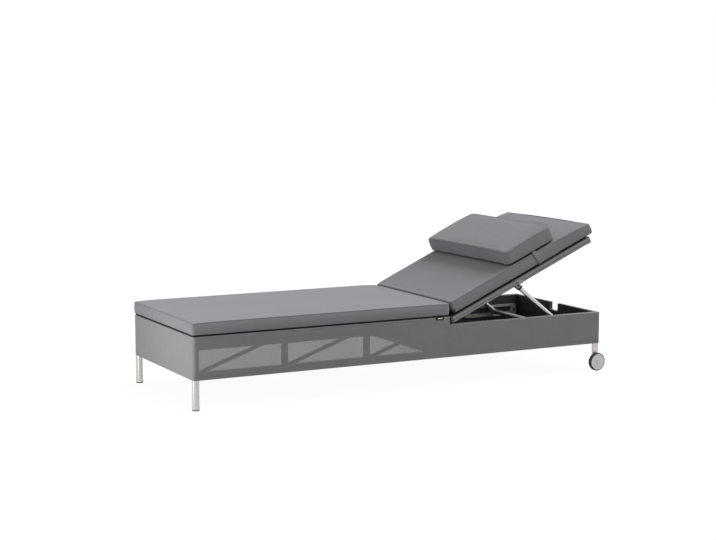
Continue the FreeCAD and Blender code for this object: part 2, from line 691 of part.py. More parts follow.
def back_frame():
    rail_end = "(back_end - rail_wide)"
    for hand, sign in HANDS:
        low, high = side_span(sign, BACK_IN, OUTSIDE)
        inner_low, inner_high = side_span(sign, f"({BACK_IN} + tube_wall)", f"({OUTSIDE} - tube_wall)")
        rail = prism(f"back_rail_{hand}", BACK, "YZ", "back_start", "back_end",
                     rectangle(low, f"-{HALF_HIGH}", high, HALF_HIGH))
        pocket(rail, "YZ", "back_start", rail_end,
               rectangle(inner_low, f"-{HALF_HIGH} + tube_wall", inner_high, f"{HALF_HIGH} - tube_wall"))
        pocket(rail, "XZ", low, high, circle("0", "0", "hinge_pin_across + run_gap + run_gap"))
        keep(rail.Label, rail)
    nose = "(hinge_past_seat - side_gap)"
    inside = f"({HALF_HIGH} - tube_wall)"
    plug_end = "(back_start + hinge_block_long)"
    low, high = side_span(-1, f"({BACK_IN} + tube_wall)", f"({OUTSIDE} - tube_wall)")
    block = prism("hinge_block", BACK, "XZ", low, high, polygon(
        ("0", f"-{nose}", nose), ("back_start", f"-{nose}"), ("back_start", f"-{inside}"),
        (plug_end, f"-{inside}"), (plug_end, inside), ("back_start", inside), ("back_start", nose),
        ("0", nose), (f"-{nose}", "0", nose)))
    pocket(block, "XZ", low, high, circle("0", "0", "hinge_pin_across + run_gap + run_gap"))
    pair("hinge_blocks", block)
    cross = (("back_base_rail", "base_rail_start"), ("back_stay_rail", "(pivot_along - rail_wide / 2)"),
             ("back_top_rail", rail_end))
    for name, start in cross:
        keep(name, prism(name, BACK, "XZ", f"-{BACK_IN}", BACK_IN,
                         tube_section(start, f"-{HALF_HIGH}", f"{start} + rail_wide", HALF_HIGH)))


def hinges():
    plate_start = "-(hinge_past_seat + rail_end_gap)"
    half = "(hinge_plate_high / 2)"
    low, high = side_span(-1, HINGE_PLATE_IN, HINGE_PLATE_OUT)
    hinge_group = (f"{HINGE_X} - {MIDDLE_X}", HINGE_HIGH, "0")
    plate = prism("hinge_plate", hinge_group, "XZ", low, high, polygon(
        (plate_start, f"-{half}"), ("0", f"-{half}"), (half, "0", half), ("0", half, half),
        (plate_start, half)))
    pocket(plate, "XZ", low, high, circle("0", "0", "hinge_pin_across + run_gap + run_gap"))
    pair("hinge_plates", plate)
    end = f"(-({OUTSIDE} - tube_wall))"
    face = f"(-{HINGE_PLATE_IN})"
    pin = prism("hinge_pin", hinge_group, "XZ", end, face, circle("0", "0", "hinge_pin_across"))
    pair("hinge_pins", pad(pin, "XZ", face, f"({face} + hinge_pin_head_thick)",
                           hexagon("0", "0", "hinge_pin_head")))


def stay_brackets():
    """Folded straps that hook over the side rails and carry the stay's pivots between two ears."""
    half = "(bracket_long / 2)"
    under = f"(-{HALF_HIGH})"
    start, end = f"pivot_along - {half}", f"pivot_along + {half}"
    ear_in = f"({ARM_IN} - side_gap)"
    ear_out = f"({ARM_OUT} + side_gap)"
    strap = prism("stay_bracket", BACK, "YZ", start, end, polygon(
        (f"-({OUTSIDE} + bracket_thick)", f"{under} - bracket_thick"),
        (f"-({ear_in} - bracket_thick)", f"{under} - bracket_thick"),
        (f"-({ear_in} - bracket_thick)", under), (f"-{OUTSIDE}", under),
        (f"-{OUTSIDE}", f"{under} + bracket_lip"),
        (f"-({OUTSIDE} + bracket_thick)", f"{under} + bracket_lip")))
    for inner in (f"({ear_in} - bracket_thick)", ear_out):
        low, high = side_span(-1, inner, f"({inner} + bracket_thick)")
        pad(strap, "XZ", low, high, polygon(
            (start, under), (start, "-pivot_drop"), ("pivot_along", f"-pivot_drop - {half}", half),
            (end, "-pivot_drop", half), (end, under)))
        pocket(strap, "XZ", low, high,
               circle("pivot_along", "-pivot_drop", "pivot_pin_across + run_gap + run_gap"))
    pair("stay_brackets", strap)
    shaft, head = "(pivot_pin_across / 2)", "(pivot_pin_head / 2)"
    face_in, face_out = f"(-({ear_in} - bracket_thick))", f"(-({ear_out} + bracket_thick))"
    head_out = f"({face_out} - pivot_pin_head_thick)"
    nut = f"({face_in} + pivot_pin_head_thick)"
    stay_pin = turned("stay_pin", BACK, "pivot_along", "-pivot_drop",
                      ("0", head_out), (head, head_out), (head, face_out), (shaft, face_out),
                      (shaft, face_in), ("0", face_in))
    pair("stay_pins", pad(stay_pin, "XZ", face_in, nut,
                          hexagon("pivot_along", "-pivot_drop", "pivot_pin_head")))


# Stay

def stay():
    eye = "(eye_across / 2)"
    fitting = "(fitting_across / 2)"
    for hand, sign in HANDS:
        low, high = side_span(sign, ARM_IN, ARM_OUT)
        y = f"{sign} * {ARM_Y}"
        tube_end = f"(stay_long - {eye} + eye_lap)"
        arm = prism(f"stay_arm_{hand}", STAY, "YZ", "fitting_long", tube_end,
                    circle(y, "0", "arm_across"), circle(y, "0", "arm_across - arm_wall - arm_wall"))
        eye_low, eye_high = side_span(sign, f"({ARM_Y} - eye_thick / 2)", f"({ARM_Y} + eye_thick / 2)")
        pad(arm, "XZ", eye_low, eye_high, circle("stay_long", "0", "eye_across"))
        pocket(arm, "XZ", low, high, circle("stay_long", "0", "bar_pin_across + run_gap + run_gap"))
        keep(arm.Label, arm)
    low, high = side_span(-1, ARM_IN, ARM_OUT)
    socket = prism("stay_fitting", STAY, "XZ", low, high, polygon(
        ("0", f"-{fitting}", fitting), ("fitting_long", f"-{fitting}"), ("fitting_long", fitting),
        ("0", fitting), (f"-{fitting}", "0", fitting)))
    pocket(socket, "XZ", low, high, circle("0", "0", "pivot_pin_across + run_gap + run_gap"))
    pair("stay_fittings", socket)
    shaft, bar = "(bar_pin_across / 2)", "(arm_across / 2)"
    keep("stay_bar", turned("stay_bar", STAY, "stay_long", "0",
                            ("0", f"-{BAR_PIN_END}"), (shaft, f"-{BAR_PIN_END}"), (shaft, f"-{ARM_IN}"),
                            (bar, f"-{ARM_IN}"), (bar, ARM_IN), (shaft, ARM_IN), (shaft, BAR_PIN_END),
                            ("0", BAR_PIN_END)))


# Cushions, as lofts through sections of lines and arcs

def cushion_section(x, half_wide, low, high, crown, belly, edge):
    """One section across a cushion: flat or bellied below, edges turned in two steps, crowned above."""
    def point(y, z):
        return FreeCAD.Vector(x, y, z)

    def bowed(ends, middle):
        start, end = ends
        curve = Part.Arc(point(*start), point(*middle), point(*end)) if middle[1] != start[1] else None
        return curve.toShape() if curve else Part.makeLine(point(*start), point(*end))

    slope = edge * (1 - math.sqrt(0.5))
    inner, side = half_wide - edge, half_wide - slope
    right = [(inner, low), (side, low + slope), (half_wide, low + edge), (half_wide, high - edge),
             (side, high - slope), (inner, high)]
    left = [(-y, z) for y, z in reversed(right)]
    lines = [Part.makeLine(point(*start), point(*end))
             for edge_points in (right, left) for start, end in zip(edge_points, edge_points[1:])]
    top = bowed((right[-1], left[0]), (0, high + crown))
    bottom = bowed((left[-1], right[0]), (0, low - belly))
    return Part.Wire([*lines[:5], top, *lines[5:], bottom])


def cushion(label, group, start, end, half_wide, low, thick, crown, edge, corner, belly="0"):
    """A boxed cushion: drawn in round its corners and edges, and crowned between them."""
    start, end, half_wide, low, thick, crown, edge, corner, belly = (
        value(text) for text in (start, end, half_wide, low, thick, crown, edge, corner, belly))
    sections = []
    for share in CORNER_SHARES:
        full_share = math.sqrt(1 - (1 - share) ** 2)
        bulge_share = END_CROWN_SHARE + (1 - END_CROWN_SHARE) * full_share
        drawn = edge * (1 - full_share)
        sections.append((start + corner * share, half_wide - corner * (1 - full_share) / 2, low + drawn / 2,
                         low + thick - drawn, crown * bulge_share, belly * bulge_share))
    mirrored = [(start + end - x, *rest) for x, *rest in reversed(sections)]
    wires = [cushion_section(*section, edge) for section in sections + mirrored]
    feature = doc.addObject("Part::Feature", "cushion")
    feature.Shape = Part.makeLoft(wires, True, True)
    place(feature, group)
    return keep(label, feature)


def cushions():
    cushion("seat_cushion", BASE, "cushion_in", "seat_long - cushion_in", f"{OUTSIDE} - cushion_in",
            f"{RAIL_TOP} + sling_thick + soft_gap", "cushion_thick", "cushion_crown", "cushion_edge",
            "cushion_corner")
    cushion("back_cushion", BACK, "back_cushion_start", "back_cushion_end", f"{OUTSIDE} - back_cushion_in",
            BACK_CUSHION_LOW, "cushion_thick", "cushion_crown", "cushion_edge", "cushion_corner")
    cushion("headrest_pillow", BACK, "pillow_start", "pillow_end", f"{OUTSIDE} - pillow_in",
            f"{PILLOW_LOW} + pillow_belly", "pillow_thick", "pillow_crown", "pillow_edge", "pillow_corner",
            "pillow_belly")


def headrest_band():
    """The pillow's wide band, wrapped round the back cushion."""
    half_wide = value(f"{OUTSIDE} - back_cushion_in")
    low, thick, crown, edge = (value(text) for text in (
        BACK_CUSHION_LOW, "cushion_thick", "cushion_crown", "cushion_edge"))
    start, wide = value("band_start"), value("band_wide")

    def layer(grow):
        section = cushion_section(start, half_wide + grow, low - grow, low + thick + grow, crown, 0,
                                  edge + grow)
        return Part.Face(section).extrude(FreeCAD.Vector(wide, 0, 0))

    gap, outer = value("soft_gap"), value("soft_gap + band_thick")
    feature = doc.addObject("Part::Feature", "band")
    feature.Shape = layer(outer).cut(layer(gap))
    place(feature, BACK)
    keep("headrest_band", feature)


def check_and_export():
    doc.recompute()
    for item in doc.Objects:
        if set(item.State) & {"Invalid", "Error"}:
            raise RuntimeError(f"{item.Label} failed: {item.State}")
    for label, item in nodes.items():
        shape = item.Shape
        if shape.isNull() or not shape.isValid() or not shape.Solids:
            raise RuntimeError(f"{label} has no valid solid")
    os.makedirs("parts", exist_ok=True)
    for label, item in nodes.items():
        item.Shape.exportStep(f"parts/{label}.step")
    print(len(nodes), "nodes", sum(len(item.Shape.Solids) for item in nodes.values()), "solids")


side_rails()
foot_rails()
cross_rails()
truss()
legs()
skirts()
slings()
well()
racks()
keepers()
wheels()
back_frame()
hinges()
stay_brackets()
stay()
cushions()
headrest_band()
check_and_export()
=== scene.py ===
# %% [markdown]
# # Relaxation lounger: the looks
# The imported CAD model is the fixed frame. This lesson dresses it: cushions that swell, mesh that lets
# light through, brushed legs and rubber tyres. Lengths are in metres, and numbers in millimetres are
# multiplied by MM.

import json
import math
from collections import namedtuple

import bmesh
import bpy
import numpy as np
from mathutils import Matrix, Vector
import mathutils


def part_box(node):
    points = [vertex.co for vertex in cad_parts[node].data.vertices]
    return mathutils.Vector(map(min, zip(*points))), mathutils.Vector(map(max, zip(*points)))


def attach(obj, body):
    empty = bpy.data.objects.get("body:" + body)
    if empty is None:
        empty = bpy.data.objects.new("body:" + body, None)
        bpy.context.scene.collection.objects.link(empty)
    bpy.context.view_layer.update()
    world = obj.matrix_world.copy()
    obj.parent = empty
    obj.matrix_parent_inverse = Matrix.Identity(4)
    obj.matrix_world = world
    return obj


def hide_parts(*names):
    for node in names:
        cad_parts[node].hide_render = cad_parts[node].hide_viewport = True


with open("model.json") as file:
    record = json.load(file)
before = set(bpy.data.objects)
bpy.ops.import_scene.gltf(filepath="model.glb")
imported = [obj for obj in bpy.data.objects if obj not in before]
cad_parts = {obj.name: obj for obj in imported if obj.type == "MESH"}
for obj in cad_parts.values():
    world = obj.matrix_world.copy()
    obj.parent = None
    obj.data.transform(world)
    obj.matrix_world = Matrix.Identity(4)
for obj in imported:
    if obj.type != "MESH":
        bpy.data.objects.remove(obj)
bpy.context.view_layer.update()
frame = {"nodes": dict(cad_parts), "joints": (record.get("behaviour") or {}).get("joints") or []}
nodes = frame["nodes"]
scene = bpy.context.scene

# %% [markdown]
# ## Places that the pieces share
# The record's joints say where the backrest turns and which way the pillow slides, so the backrest has
# its own axes: along it, across it and up out of it. Nothing on it needs a place measured by hand.

# %% Axes of the base and of the backrest
MM = 0.001
HANDS = (("left", -1), ("right", 1))
joints = {joint["name"]: joint for joint in frame["joints"]}
HINGE = np.array(joints["backrest_hinge"]["pos_m"])
ALONG = np.array(joints["headrest_slide"]["axis"])
ACROSS = np.array((0.0, 1.0, 0.0))
ABOVE = np.cross(ALONG, ACROSS)


def node_box(name):
    """Lowest and highest corner of a CAD node, as two arrays."""
    return [np.array(corner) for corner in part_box(name)]


def on_backrest(points):
    """Points given as (along, across, above) the backrest, in the frame's own X, Y and Z."""
    return HINGE + points[..., :1] * ALONG + points[..., 1:2] * ACROSS + points[..., 2:] * ABOVE


(FOOT_X, _, SKIRT_LOW), (_, OUTSIDE, SEAT_RIM) = node_box("foot_skirt")
HEAD_X, _, HEAD_RIM = node_box("head_skirt")[1]
STEP_X = HINGE[0] - 8 * MM
print("from", round(FOOT_X, 4), "to", round(HEAD_X, 4), "step", round(STEP_X, 4))

# %% [markdown]
# ## The camera
# The photograph shows long parallel edges in three directions, and their meeting points give the lens
# and the tilt. The camera stands low and far off, near the foot end, with the lounger's left side near.

# %% Camera
LENS, SENSOR_WIDE = 81.4, 36
CAMERA_PLACE, TILT_DOWN, TURN_RIGHT = (-3.3810, -6.3612, 1.3806), 7.12, 27.43
camera_data = bpy.data.cameras.new("camera")
camera_data.lens, camera_data.sensor_width = LENS, SENSOR_WIDE
camera = bpy.data.objects.new("camera", camera_data)
camera.location = CAMERA_PLACE
camera.rotation_euler = (math.radians(90 - TILT_DOWN), 0, math.radians(-TURN_RIGHT))
scene.collection.objects.link(camera)
scene.camera = camera

# %% [markdown]
# ## Meshes from grids
# Every new piece is a grid of points that a formula gives, with quads between neighbours. Cloth also
# gets a flat map of itself in metres, so that its weave keeps one size however it bends.


# %% Grid helpers
def gather(*arrays):
    """Arrays of one shape, or that stretch to one shape, side by side in a new last axis."""
    return np.stack(np.broadcast_arrays(*arrays), -1)


def distances_along(points):
    """How far every point of a line lies from its first point, measured along the line."""
    return np.concatenate([[0], np.cumsum(np.linalg.norm(np.diff(points, axis=0), axis=1))])


def grid_sheet(points, cloth=None, wrap_rows=False, wrap_columns=False, flip=False, kinds=None, seam=0.0):
    """A grid as plain arrays: points, quads, the cloth map's place of every quad corner, the material
    of every row of quads and how much painted shade every point carries, from 0 to 1."""
    rows, columns = points.shape[:2]
    row, column = (marks.ravel() for marks in np.meshgrid(
        np.arange(rows - (not wrap_rows)), np.arange(columns - (not wrap_columns)), indexing="ij"))
    ways = np.array(((0, 0), (0, 1), (1, 1), (1, 0)))
    corners = np.stack([row, column], -1)[:, None] + (ways[::-1] if flip else ways)
    quads = (corners[..., 0] % rows) * columns + corners[..., 1] % columns
    if cloth is None:
        cloth = np.zeros((rows + wrap_rows, columns + wrap_columns, 2))
    return {"points": points.reshape(-1, 3), "quads": quads, "cloth": cloth[corners[..., 0], corners[..., 1]],
            "kinds": np.zeros(len(quads)) if kinds is None else np.asarray(kinds)[row],
            "seam": np.broadcast_to(seam, (rows, columns)).ravel()}


def build_piece(name, sheets, body, materials, merge=2e-5, outward=False):
    """One object from one or more sheets. Points closer than merge become one point, and outward turns
    every face outwards."""
    starts = np.cumsum([0] + [len(sheet["points"]) for sheet in sheets])
    points, cloth, kinds, seam = (np.concatenate([sheet[key] for sheet in sheets])
                                  for key in ("points", "cloth", "kinds", "seam"))
    quads = np.concatenate([sheet["quads"] + start for sheet, start in zip(sheets, starts)])
    mesh = bpy.data.meshes.new(name)
    mesh.from_pydata(points.tolist(), [], quads.tolist())
    mesh.uv_layers.new(name="cloth").data.foreach_set("uv", cloth.astype(np.float32).ravel())
    add_values(mesh, "seam", seam)
    mesh.polygons.foreach_set("material_index", kinds.astype(np.int32))
    mesh.polygons.foreach_set("use_smooth", np.ones(len(mesh.polygons), bool))
    for material in materials:
        mesh.materials.append(material)
    work = bmesh.new()
    work.from_mesh(mesh)
    if merge:
        bmesh.ops.remove_doubles(work, verts=work.verts, dist=merge)
    if outward:
        bmesh.ops.recalc_face_normals(work, faces=work.faces)
    work.to_mesh(mesh)
    work.free()
    mesh.update()
    piece = bpy.data.objects.new(name, mesh)
    scene.collection.objects.link(piece)
    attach(piece, body)
    return piece


def add_values(mesh, name, values):
    """Gives every point of a mesh a number that its material can read."""
    layer = mesh.attributes.new(name, "FLOAT", "POINT")
    layer.data.foreach_set("value", values.astype(np.float32).ravel())


def vertex_places(piece, key="co"):
    places = np.zeros(len(piece.data.vertices) * 3)
    piece.data.vertices.foreach_get(key, places)
    return places.reshape(-1, 3)


def set_places(piece, places):
    piece.data.vertices.foreach_set("co", places.astype(np.float32).ravel())
    piece.data.update()


def evaluated(piece):
    """The piece as its modifiers leave it."""
    return piece.evaluated_get(bpy.context.evaluated_depsgraph_get())


# %% [markdown]
# ## Shader groups
# Five effects recur on this object: a plain weave, slow cloudy variation, fine grain, brushing and
# dust on what faces up. Each is a group with named sockets, built once and set per material.


# %% Node helpers
def plug(source, target):
    """Links a socket, or writes a plain value into the target."""
    if isinstance(source, bpy.types.NodeSocket):
        target.id_data.links.new(source, target)
    else:
        target.default_value = source


def fill_in(node, **values):
    """Plugs values into a node's inputs; underscores in the names stand for spaces."""
    for label, value in values.items():
        plug(value, node.inputs[label.replace("_", " ")])
    return node


def calculate(operation, *values):
    """A maths node in the tree of its sockets, of which there must be one."""
    tree = next(value.id_data for value in values if isinstance(value, bpy.types.NodeSocket))
    node = tree.nodes.new("ShaderNodeMath")
    node.operation = operation
    for value, target in zip(values, node.inputs):
        plug(value, target)
    return node.outputs[0]


def times(product, *others):
    for other in others:
        product = calculate("MULTIPLY", product, other)
    return product


def new_group(name, inputs, outputs):
    """An empty shader group; inputs are (name, kind, value), and outputs are names of plain values."""
    tree = bpy.data.node_groups.new(name, "ShaderNodeTree")
    kinds = {"value": "NodeSocketFloat", "vector": "NodeSocketVector"}
    for label, kind, value in inputs:
        made = tree.interface.new_socket(label, in_out="INPUT", socket_type=kinds[kind])
        if value is not None:
            made.default_value = value
    for label in outputs:
        tree.interface.new_socket(label, in_out="OUTPUT", socket_type=kinds["value"])
    return tree, tree.nodes.new("NodeGroupInput").outputs, tree.nodes.new("NodeGroupOutput").inputs


def noise(vector, scale, detail=3.0, roughness=0.55):
    node = vector.id_data.nodes.new("ShaderNodeTexNoise")
    return fill_in(node, Vector=vector, Scale=scale, Detail=detail, Roughness=roughness).outputs["Fac"]


def scaled(vector, factors):
    node = vector.id_data.nodes.new("ShaderNodeVectorMath")
    node.operation = "MULTIPLY"
    plug(vector, node.inputs[0])
    plug(factors, node.inputs[1])
    return node.outputs[0]


def separated(vector):
    node = vector.id_data.nodes.new("ShaderNodeSeparateXYZ")
    return fill_in(node, Vector=vector).outputs


def use_group(group, Vector, **values):
    """Places a group in the tree of its vector."""
    node = Vector.id_data.nodes.new("ShaderNodeGroup")
    node.node_tree = group
    return fill_in(node, Vector=Vector, **values).outputs


# %% [markdown]
# ### Plain weave
# Threads run both ways and pass over and under each other by turns. In each cell of the cloth map the
# distance from a thread's middle line gives its round back, and the checkerboard of cells says which
# thread lies on top. Where neither thread covers, there is a hole.


# %% Weave group
def make_weave():
    tree, given, result = new_group(
        "plain weave",
        [("Vector", "vector", None), ("Pitch", "value", 0.0016), ("Thread share", "value", 0.6)],
        ["Cover", "Height", "Over"])
    cells, distances, waves = [], [], []
    for place in separated(given["Vector"])[:2]:
        place = calculate("DIVIDE", place, given["Pitch"])
        from_middle = calculate("SUBTRACT", calculate("FRACT", place), 0.5)
        cells.append(calculate("FLOOR", place))
        distances.append(calculate(
            "DIVIDE", times(calculate("ABSOLUTE", from_middle), 2.0), given["Thread share"]))
        waves.append(calculate("COSINE", times(from_middle, math.pi)))
    parity = calculate("MODULO", calculate("ABSOLUTE", calculate("ADD", *cells)), 2.0)
    side = calculate("SUBTRACT", times(parity, 2.0), 1.0)
    heights, covers = [], []
    for distance, wave, sign in ((distances[0], waves[1], 0.45), (distances[1], waves[0], -0.45)):
        left_over = calculate("SUBTRACT", 1.0, times(distance, distance))
        round_back = calculate("SQRT", calculate("MAXIMUM", left_over, 0.0))
        lift = calculate("MULTIPLY_ADD", times(side, sign), wave, 0.55)
        heights.append(times(round_back, lift))
        covers.append(calculate("LESS_THAN", distance, 1.0))
    plug(calculate("MAXIMUM", *covers), result["Cover"])
    plug(calculate("MAXIMUM", *heights), result["Height"])
    plug(calculate("GREATER_THAN", *heights), result["Over"])
    return tree


# %% Cloud, grain, brushing and dust groups
def make_clouds():
    """A factor near one that drifts slowly over the surface: 1 + amount * (two noises - 1)."""
    tree, given, result = new_group(
        "clouds", [("Vector", "vector", None), ("Scale", "value", 4.0), ("Amount", "value", 0.1)], ["Factor"])
    broad = noise(given["Vector"], given["Scale"], 2.0)
    fine = noise(given["Vector"], times(given["Scale"], 9.0))
    both_noises = calculate("SUBTRACT", calculate("ADD", broad, fine), 1.0)
    plug(calculate("MULTIPLY_ADD", both_noises, given["Amount"], 1.0), result["Factor"])
    return tree


def make_grain():
    """Fine even bumps, as on moulded plastic, powder coat or the fibres of a thread."""
    tree, given, result = new_group(
        "grain", [("Vector", "vector", None), ("Scale", "value", 900.0)], ["Height"])
    plug(noise(given["Vector"], given["Scale"], 2.0, 0.6), result["Height"])
    return tree


def make_brushing():
    """Long thin scratches: noise stretched a hundredfold along the way of the brush."""
    tree, given, result = new_group(
        "brushing", [("Vector", "vector", None), ("Stretch", "vector", (400.0, 400.0, 6.0)),
                     ("Roughness", "value", 0.3), ("Amount", "value", 0.15)], ["Roughness", "Height"])
    lines = noise(scaled(given["Vector"], given["Stretch"]), 1.0, 4.0, 0.7)
    centred = calculate("SUBTRACT", lines, 0.5)
    plug(calculate("MULTIPLY_ADD", centred, given["Amount"], given["Roughness"]), result["Roughness"])
    plug(lines, result["Height"])
    return tree


def make_dust():
    """A mask of what faces up, broken by noise, for settled dust and sun-bleached tops."""
    tree, given, result = new_group(
        "dust", [("Vector", "vector", None), ("Amount", "value", 0.2)], ["Mask"])
    normal = tree.nodes.new("ShaderNodeNewGeometry").outputs["Normal"]
    upward = calculate("POWER", calculate("MAXIMUM", separated(normal)[2], 0.0), 2.0)
    patches = noise(given["Vector"], 26.0, 4.0, 0.65)
    plug(times(upward, patches, given["Amount"]), result["Mask"])
    return tree


WEAVE, CLOUDS, GRAIN = make_weave(), make_clouds(), make_grain()
BRUSHING, DUST = make_brushing(), make_dust()


# %% Material helpers
def new_material(name, **values):
    """A material, its shader with the given values, and the place on the object."""
    material = bpy.data.materials.new(name)
    material.use_nodes = True
    tree = material.node_tree
    shader = fill_in(tree.nodes["Principled BSDF"], **values)
    return material, shader, tree.nodes.new("ShaderNodeTexCoord").outputs["Object"]


def cloth_map(shader):
    node = shader.id_data.nodes.new("ShaderNodeUVMap")
    node.uv_map = "cloth"
    return node.outputs[0]


def attribute(shader, name):
    """A number that the piece's own points carry."""
    node = shader.id_data.nodes.new("ShaderNodeAttribute")
    node.attribute_name = name
    return node.outputs["Fac"]


def painted_shade_factor(shader, depth):
    """Painted shade: close to 1 on the cloth, and darker by depth where the piece's own shade attribute says
    so.
    """
    return calculate("MULTIPLY_ADD", attribute(shader, "seam"), -depth, 1.0)


def mixed(tree, first, second, factor=1.0, way="MIX"):
    """Two colours, plain or from sockets: the first where the factor is 0 and the second where it is 1,
    or the one times the other."""
    node = tree.nodes.new("ShaderNodeMix")
    node.data_type, node.blend_type = "RGBA", way
    plug(factor, node.inputs[0])
    for source, target in ((first, node.inputs[6]), (second, node.inputs[7])):
        plug((*source, 1.0) if isinstance(source, tuple) else source, target)
    return node.outputs[2]


def tinted(colour, factor):
    """A colour times a factor that changes over the surface."""
    grey = factor.id_data.nodes.new("ShaderNodeCombineColor")
    for channel in grey.inputs:
        plug(factor, channel)
    return mixed(factor.id_data, colour, grey.outputs[0], way="MULTIPLY")


def bump(shader, height, distance, strength, **below):
    """Bumps on the shader, over those of an earlier bump where Normal names one."""
    node = shader.id_data.nodes.new("ShaderNodeBump")
    fill_in(node, Height=height, Distance=distance, Strength=strength, **below)
    plug(node.outputs[0], shader.inputs["Normal"])
    return node.outputs[0]


# %% [markdown]
# ## Fabrics
# The cushions wear a smooth, closely woven outdoor cloth in a cool mid grey: the weave only shows close
# up, as fine bumps, and the cloth is never quite even in tone. Its underside is a black grip cloth, kept
# near black partly as painted shade, for the shadow gap where it shows under the cushion.


# %% Cushion cloth
def cushion_cloth(name, colour):
    material, shader, place = new_material(name, Roughness=0.92, Specular_IOR_Level=0.25, Sheen_Weight=0.12,
                                           Sheen_Roughness=0.6)
    weave = use_group(WEAVE, cloth_map(shader), Pitch=0.0009, Thread_share=0.96)
    clouds = use_group(CLOUDS, place, Scale=5.0, Amount=0.10)["Factor"]
    threads = calculate("MULTIPLY_ADD", weave["Over"], 0.07, 0.965)
    # Painted shade: the weave's low places are darkened a little, as shade in its hollows.
    valley_shade = calculate("MULTIPLY_ADD", weave["Height"], 0.12, 0.90)
    factor = times(clouds, threads, valley_shade, painted_shade_factor(shader, 0.62))
    plug(tinted(colour, factor), shader.inputs["Base Color"])
    soft = bump(shader, noise(place, 22.0), 0.0022, 0.5)
    bump(shader, weave["Height"], 0.00012, 0.5, Normal=soft)
    return material


CUSHION = cushion_cloth("cushion_cloth", (0.335, 0.337, 0.357))
# The grip cloth is near black partly as painted shade, for the shadow gap under the cushion.
CUSHION_BASE = cushion_cloth("cushion_grip_and_shade_cloth", (0.012, 0.012, 0.013))

# %% [markdown]
# The skirt and the slings are plastic-coated threads in an open plain weave. The holes are real: they
# go through Alpha, so the truss shows behind the mesh as it does on the lounger. At the foot end the
# weave is drawn denser and shows no holes, so the end reads evenly bright: this paints in the strong
# light that falls there. Round the well a black lining lies right behind the holes. Two attributes
# of the skirt say where.

# %% Open weave
MESH_PITCH = 0.0016


def open_weave(name, light, dark, share, zones=False):
    material, shader, place = new_material(name, Roughness=0.7, Specular_IOR_Level=0.3)
    cloth = cloth_map(shader)
    if zones:
        share = calculate("MULTIPLY_ADD", attribute(shader, "denser_for_light"), 0.99 - share, share)
    weave = use_group(WEAVE, cloth, Pitch=MESH_PITCH, Thread_share=share)
    clouds = use_group(CLOUDS, place, Scale=3.0, Amount=0.08)["Factor"]
    stretched = scaled(cloth, (0.8 / MESH_PITCH, 0.03 / MESH_PITCH, 1.0))
    streaks = calculate("MULTIPLY_ADD", noise(stretched, 1.0, 1.0), 0.25, 0.875)
    # Painted shade: each thread darkens towards its edges and where it dips under the other, as shade on its
    # round back.
    thread_edge_shade = calculate("MULTIPLY_ADD", weave["Height"], 0.35, 0.76)
    cover = weave["Cover"]
    factor = times(clouds, streaks, thread_edge_shade, painted_shade_factor(shader, 0.93), cover)
    threads = mixed(shader.id_data, dark, light, weave["Over"])
    if zones:
        cover = calculate("MAXIMUM", cover, attribute(shader, "lined"))
    fill_in(shader, Base_Color=tinted(threads, factor), Alpha=cover)
    bump(shader, weave["Height"], 0.0005, 0.7)
    return material


SKIRT = open_weave("skirt_weave", (0.372, 0.375, 0.374), (0.316, 0.319, 0.318), 0.66, zones=True)
SLEEVE = open_weave("sleeve_weave", (0.50, 0.50, 0.50), (0.22, 0.22, 0.222), 0.985)
SLING = open_weave("sling_weave", (0.10, 0.10, 0.102), (0.06, 0.06, 0.062), 0.66)

# %% [markdown]
# ## Metals, plastics and rubber
# The legs and the stay are brushed stainless tube, which here mirrors a white studio and so reads as a
# warm pale grey. Frame tubes are powder coated, and the wheels are moulded.


# %% Hard materials
def brushed_metal(name, colour, roughness, stretch, amount=0.18):
    material, shader, place = new_material(name, Metallic=1.0)
    brushing = use_group(BRUSHING, place, Stretch=stretch, Roughness=roughness, Amount=amount)
    clouds = use_group(CLOUDS, place, Scale=14.0, Amount=0.08)["Factor"]
    fill_in(shader, Base_Color=tinted(colour, clouds), Roughness=brushing["Roughness"])
    bump(shader, brushing["Height"], 0.00004, 0.6)
    return material


def moulded(name, colour, roughness, grain_scale, depth, dust=0.0, dusty=(0.3, 0.3, 0.29), metallic=0.0,
            shine=0.5):
    material, shader, place = new_material(name, Metallic=metallic, Specular_IOR_Level=shine)
    base = tinted(colour, use_group(CLOUDS, place, Scale=9.0, Amount=0.12)["Factor"])
    if dust:
        base = mixed(shader.id_data, base, dusty, use_group(DUST, place, Amount=dust)["Mask"])
    rough = calculate("MULTIPLY_ADD", noise(place, 40.0), 0.16, roughness - 0.08)
    fill_in(shader, Base_Color=base, Roughness=rough)
    bump(shader, use_group(GRAIN, place, Scale=grain_scale)["Height"], depth, 0.5)
    return material


LENGTHWAYS, CROSSWAYS, UPRIGHT = (9.0, 500.0, 500.0), (500.0, 9.0, 500.0), (500.0, 500.0, 8.0)
TURNED = (60.0, 900.0, 60.0)
STEEL = brushed_metal("brushed_steel", (0.53, 0.515, 0.49), 0.34, UPRIGHT)
STAY_STEEL = brushed_metal("stay_steel", (0.56, 0.55, 0.53), 0.36, LENGTHWAYS)
PINS = brushed_metal("turned_pins", (0.66, 0.66, 0.66), 0.25, TURNED)
RACK = moulded("rack_metal", (0.62, 0.60, 0.55), 0.42, 300.0, 0.00006)
BRACKET = brushed_metal("bracket_steel", (0.24, 0.24, 0.235), 0.42, LENGTHWAYS, 0.3)
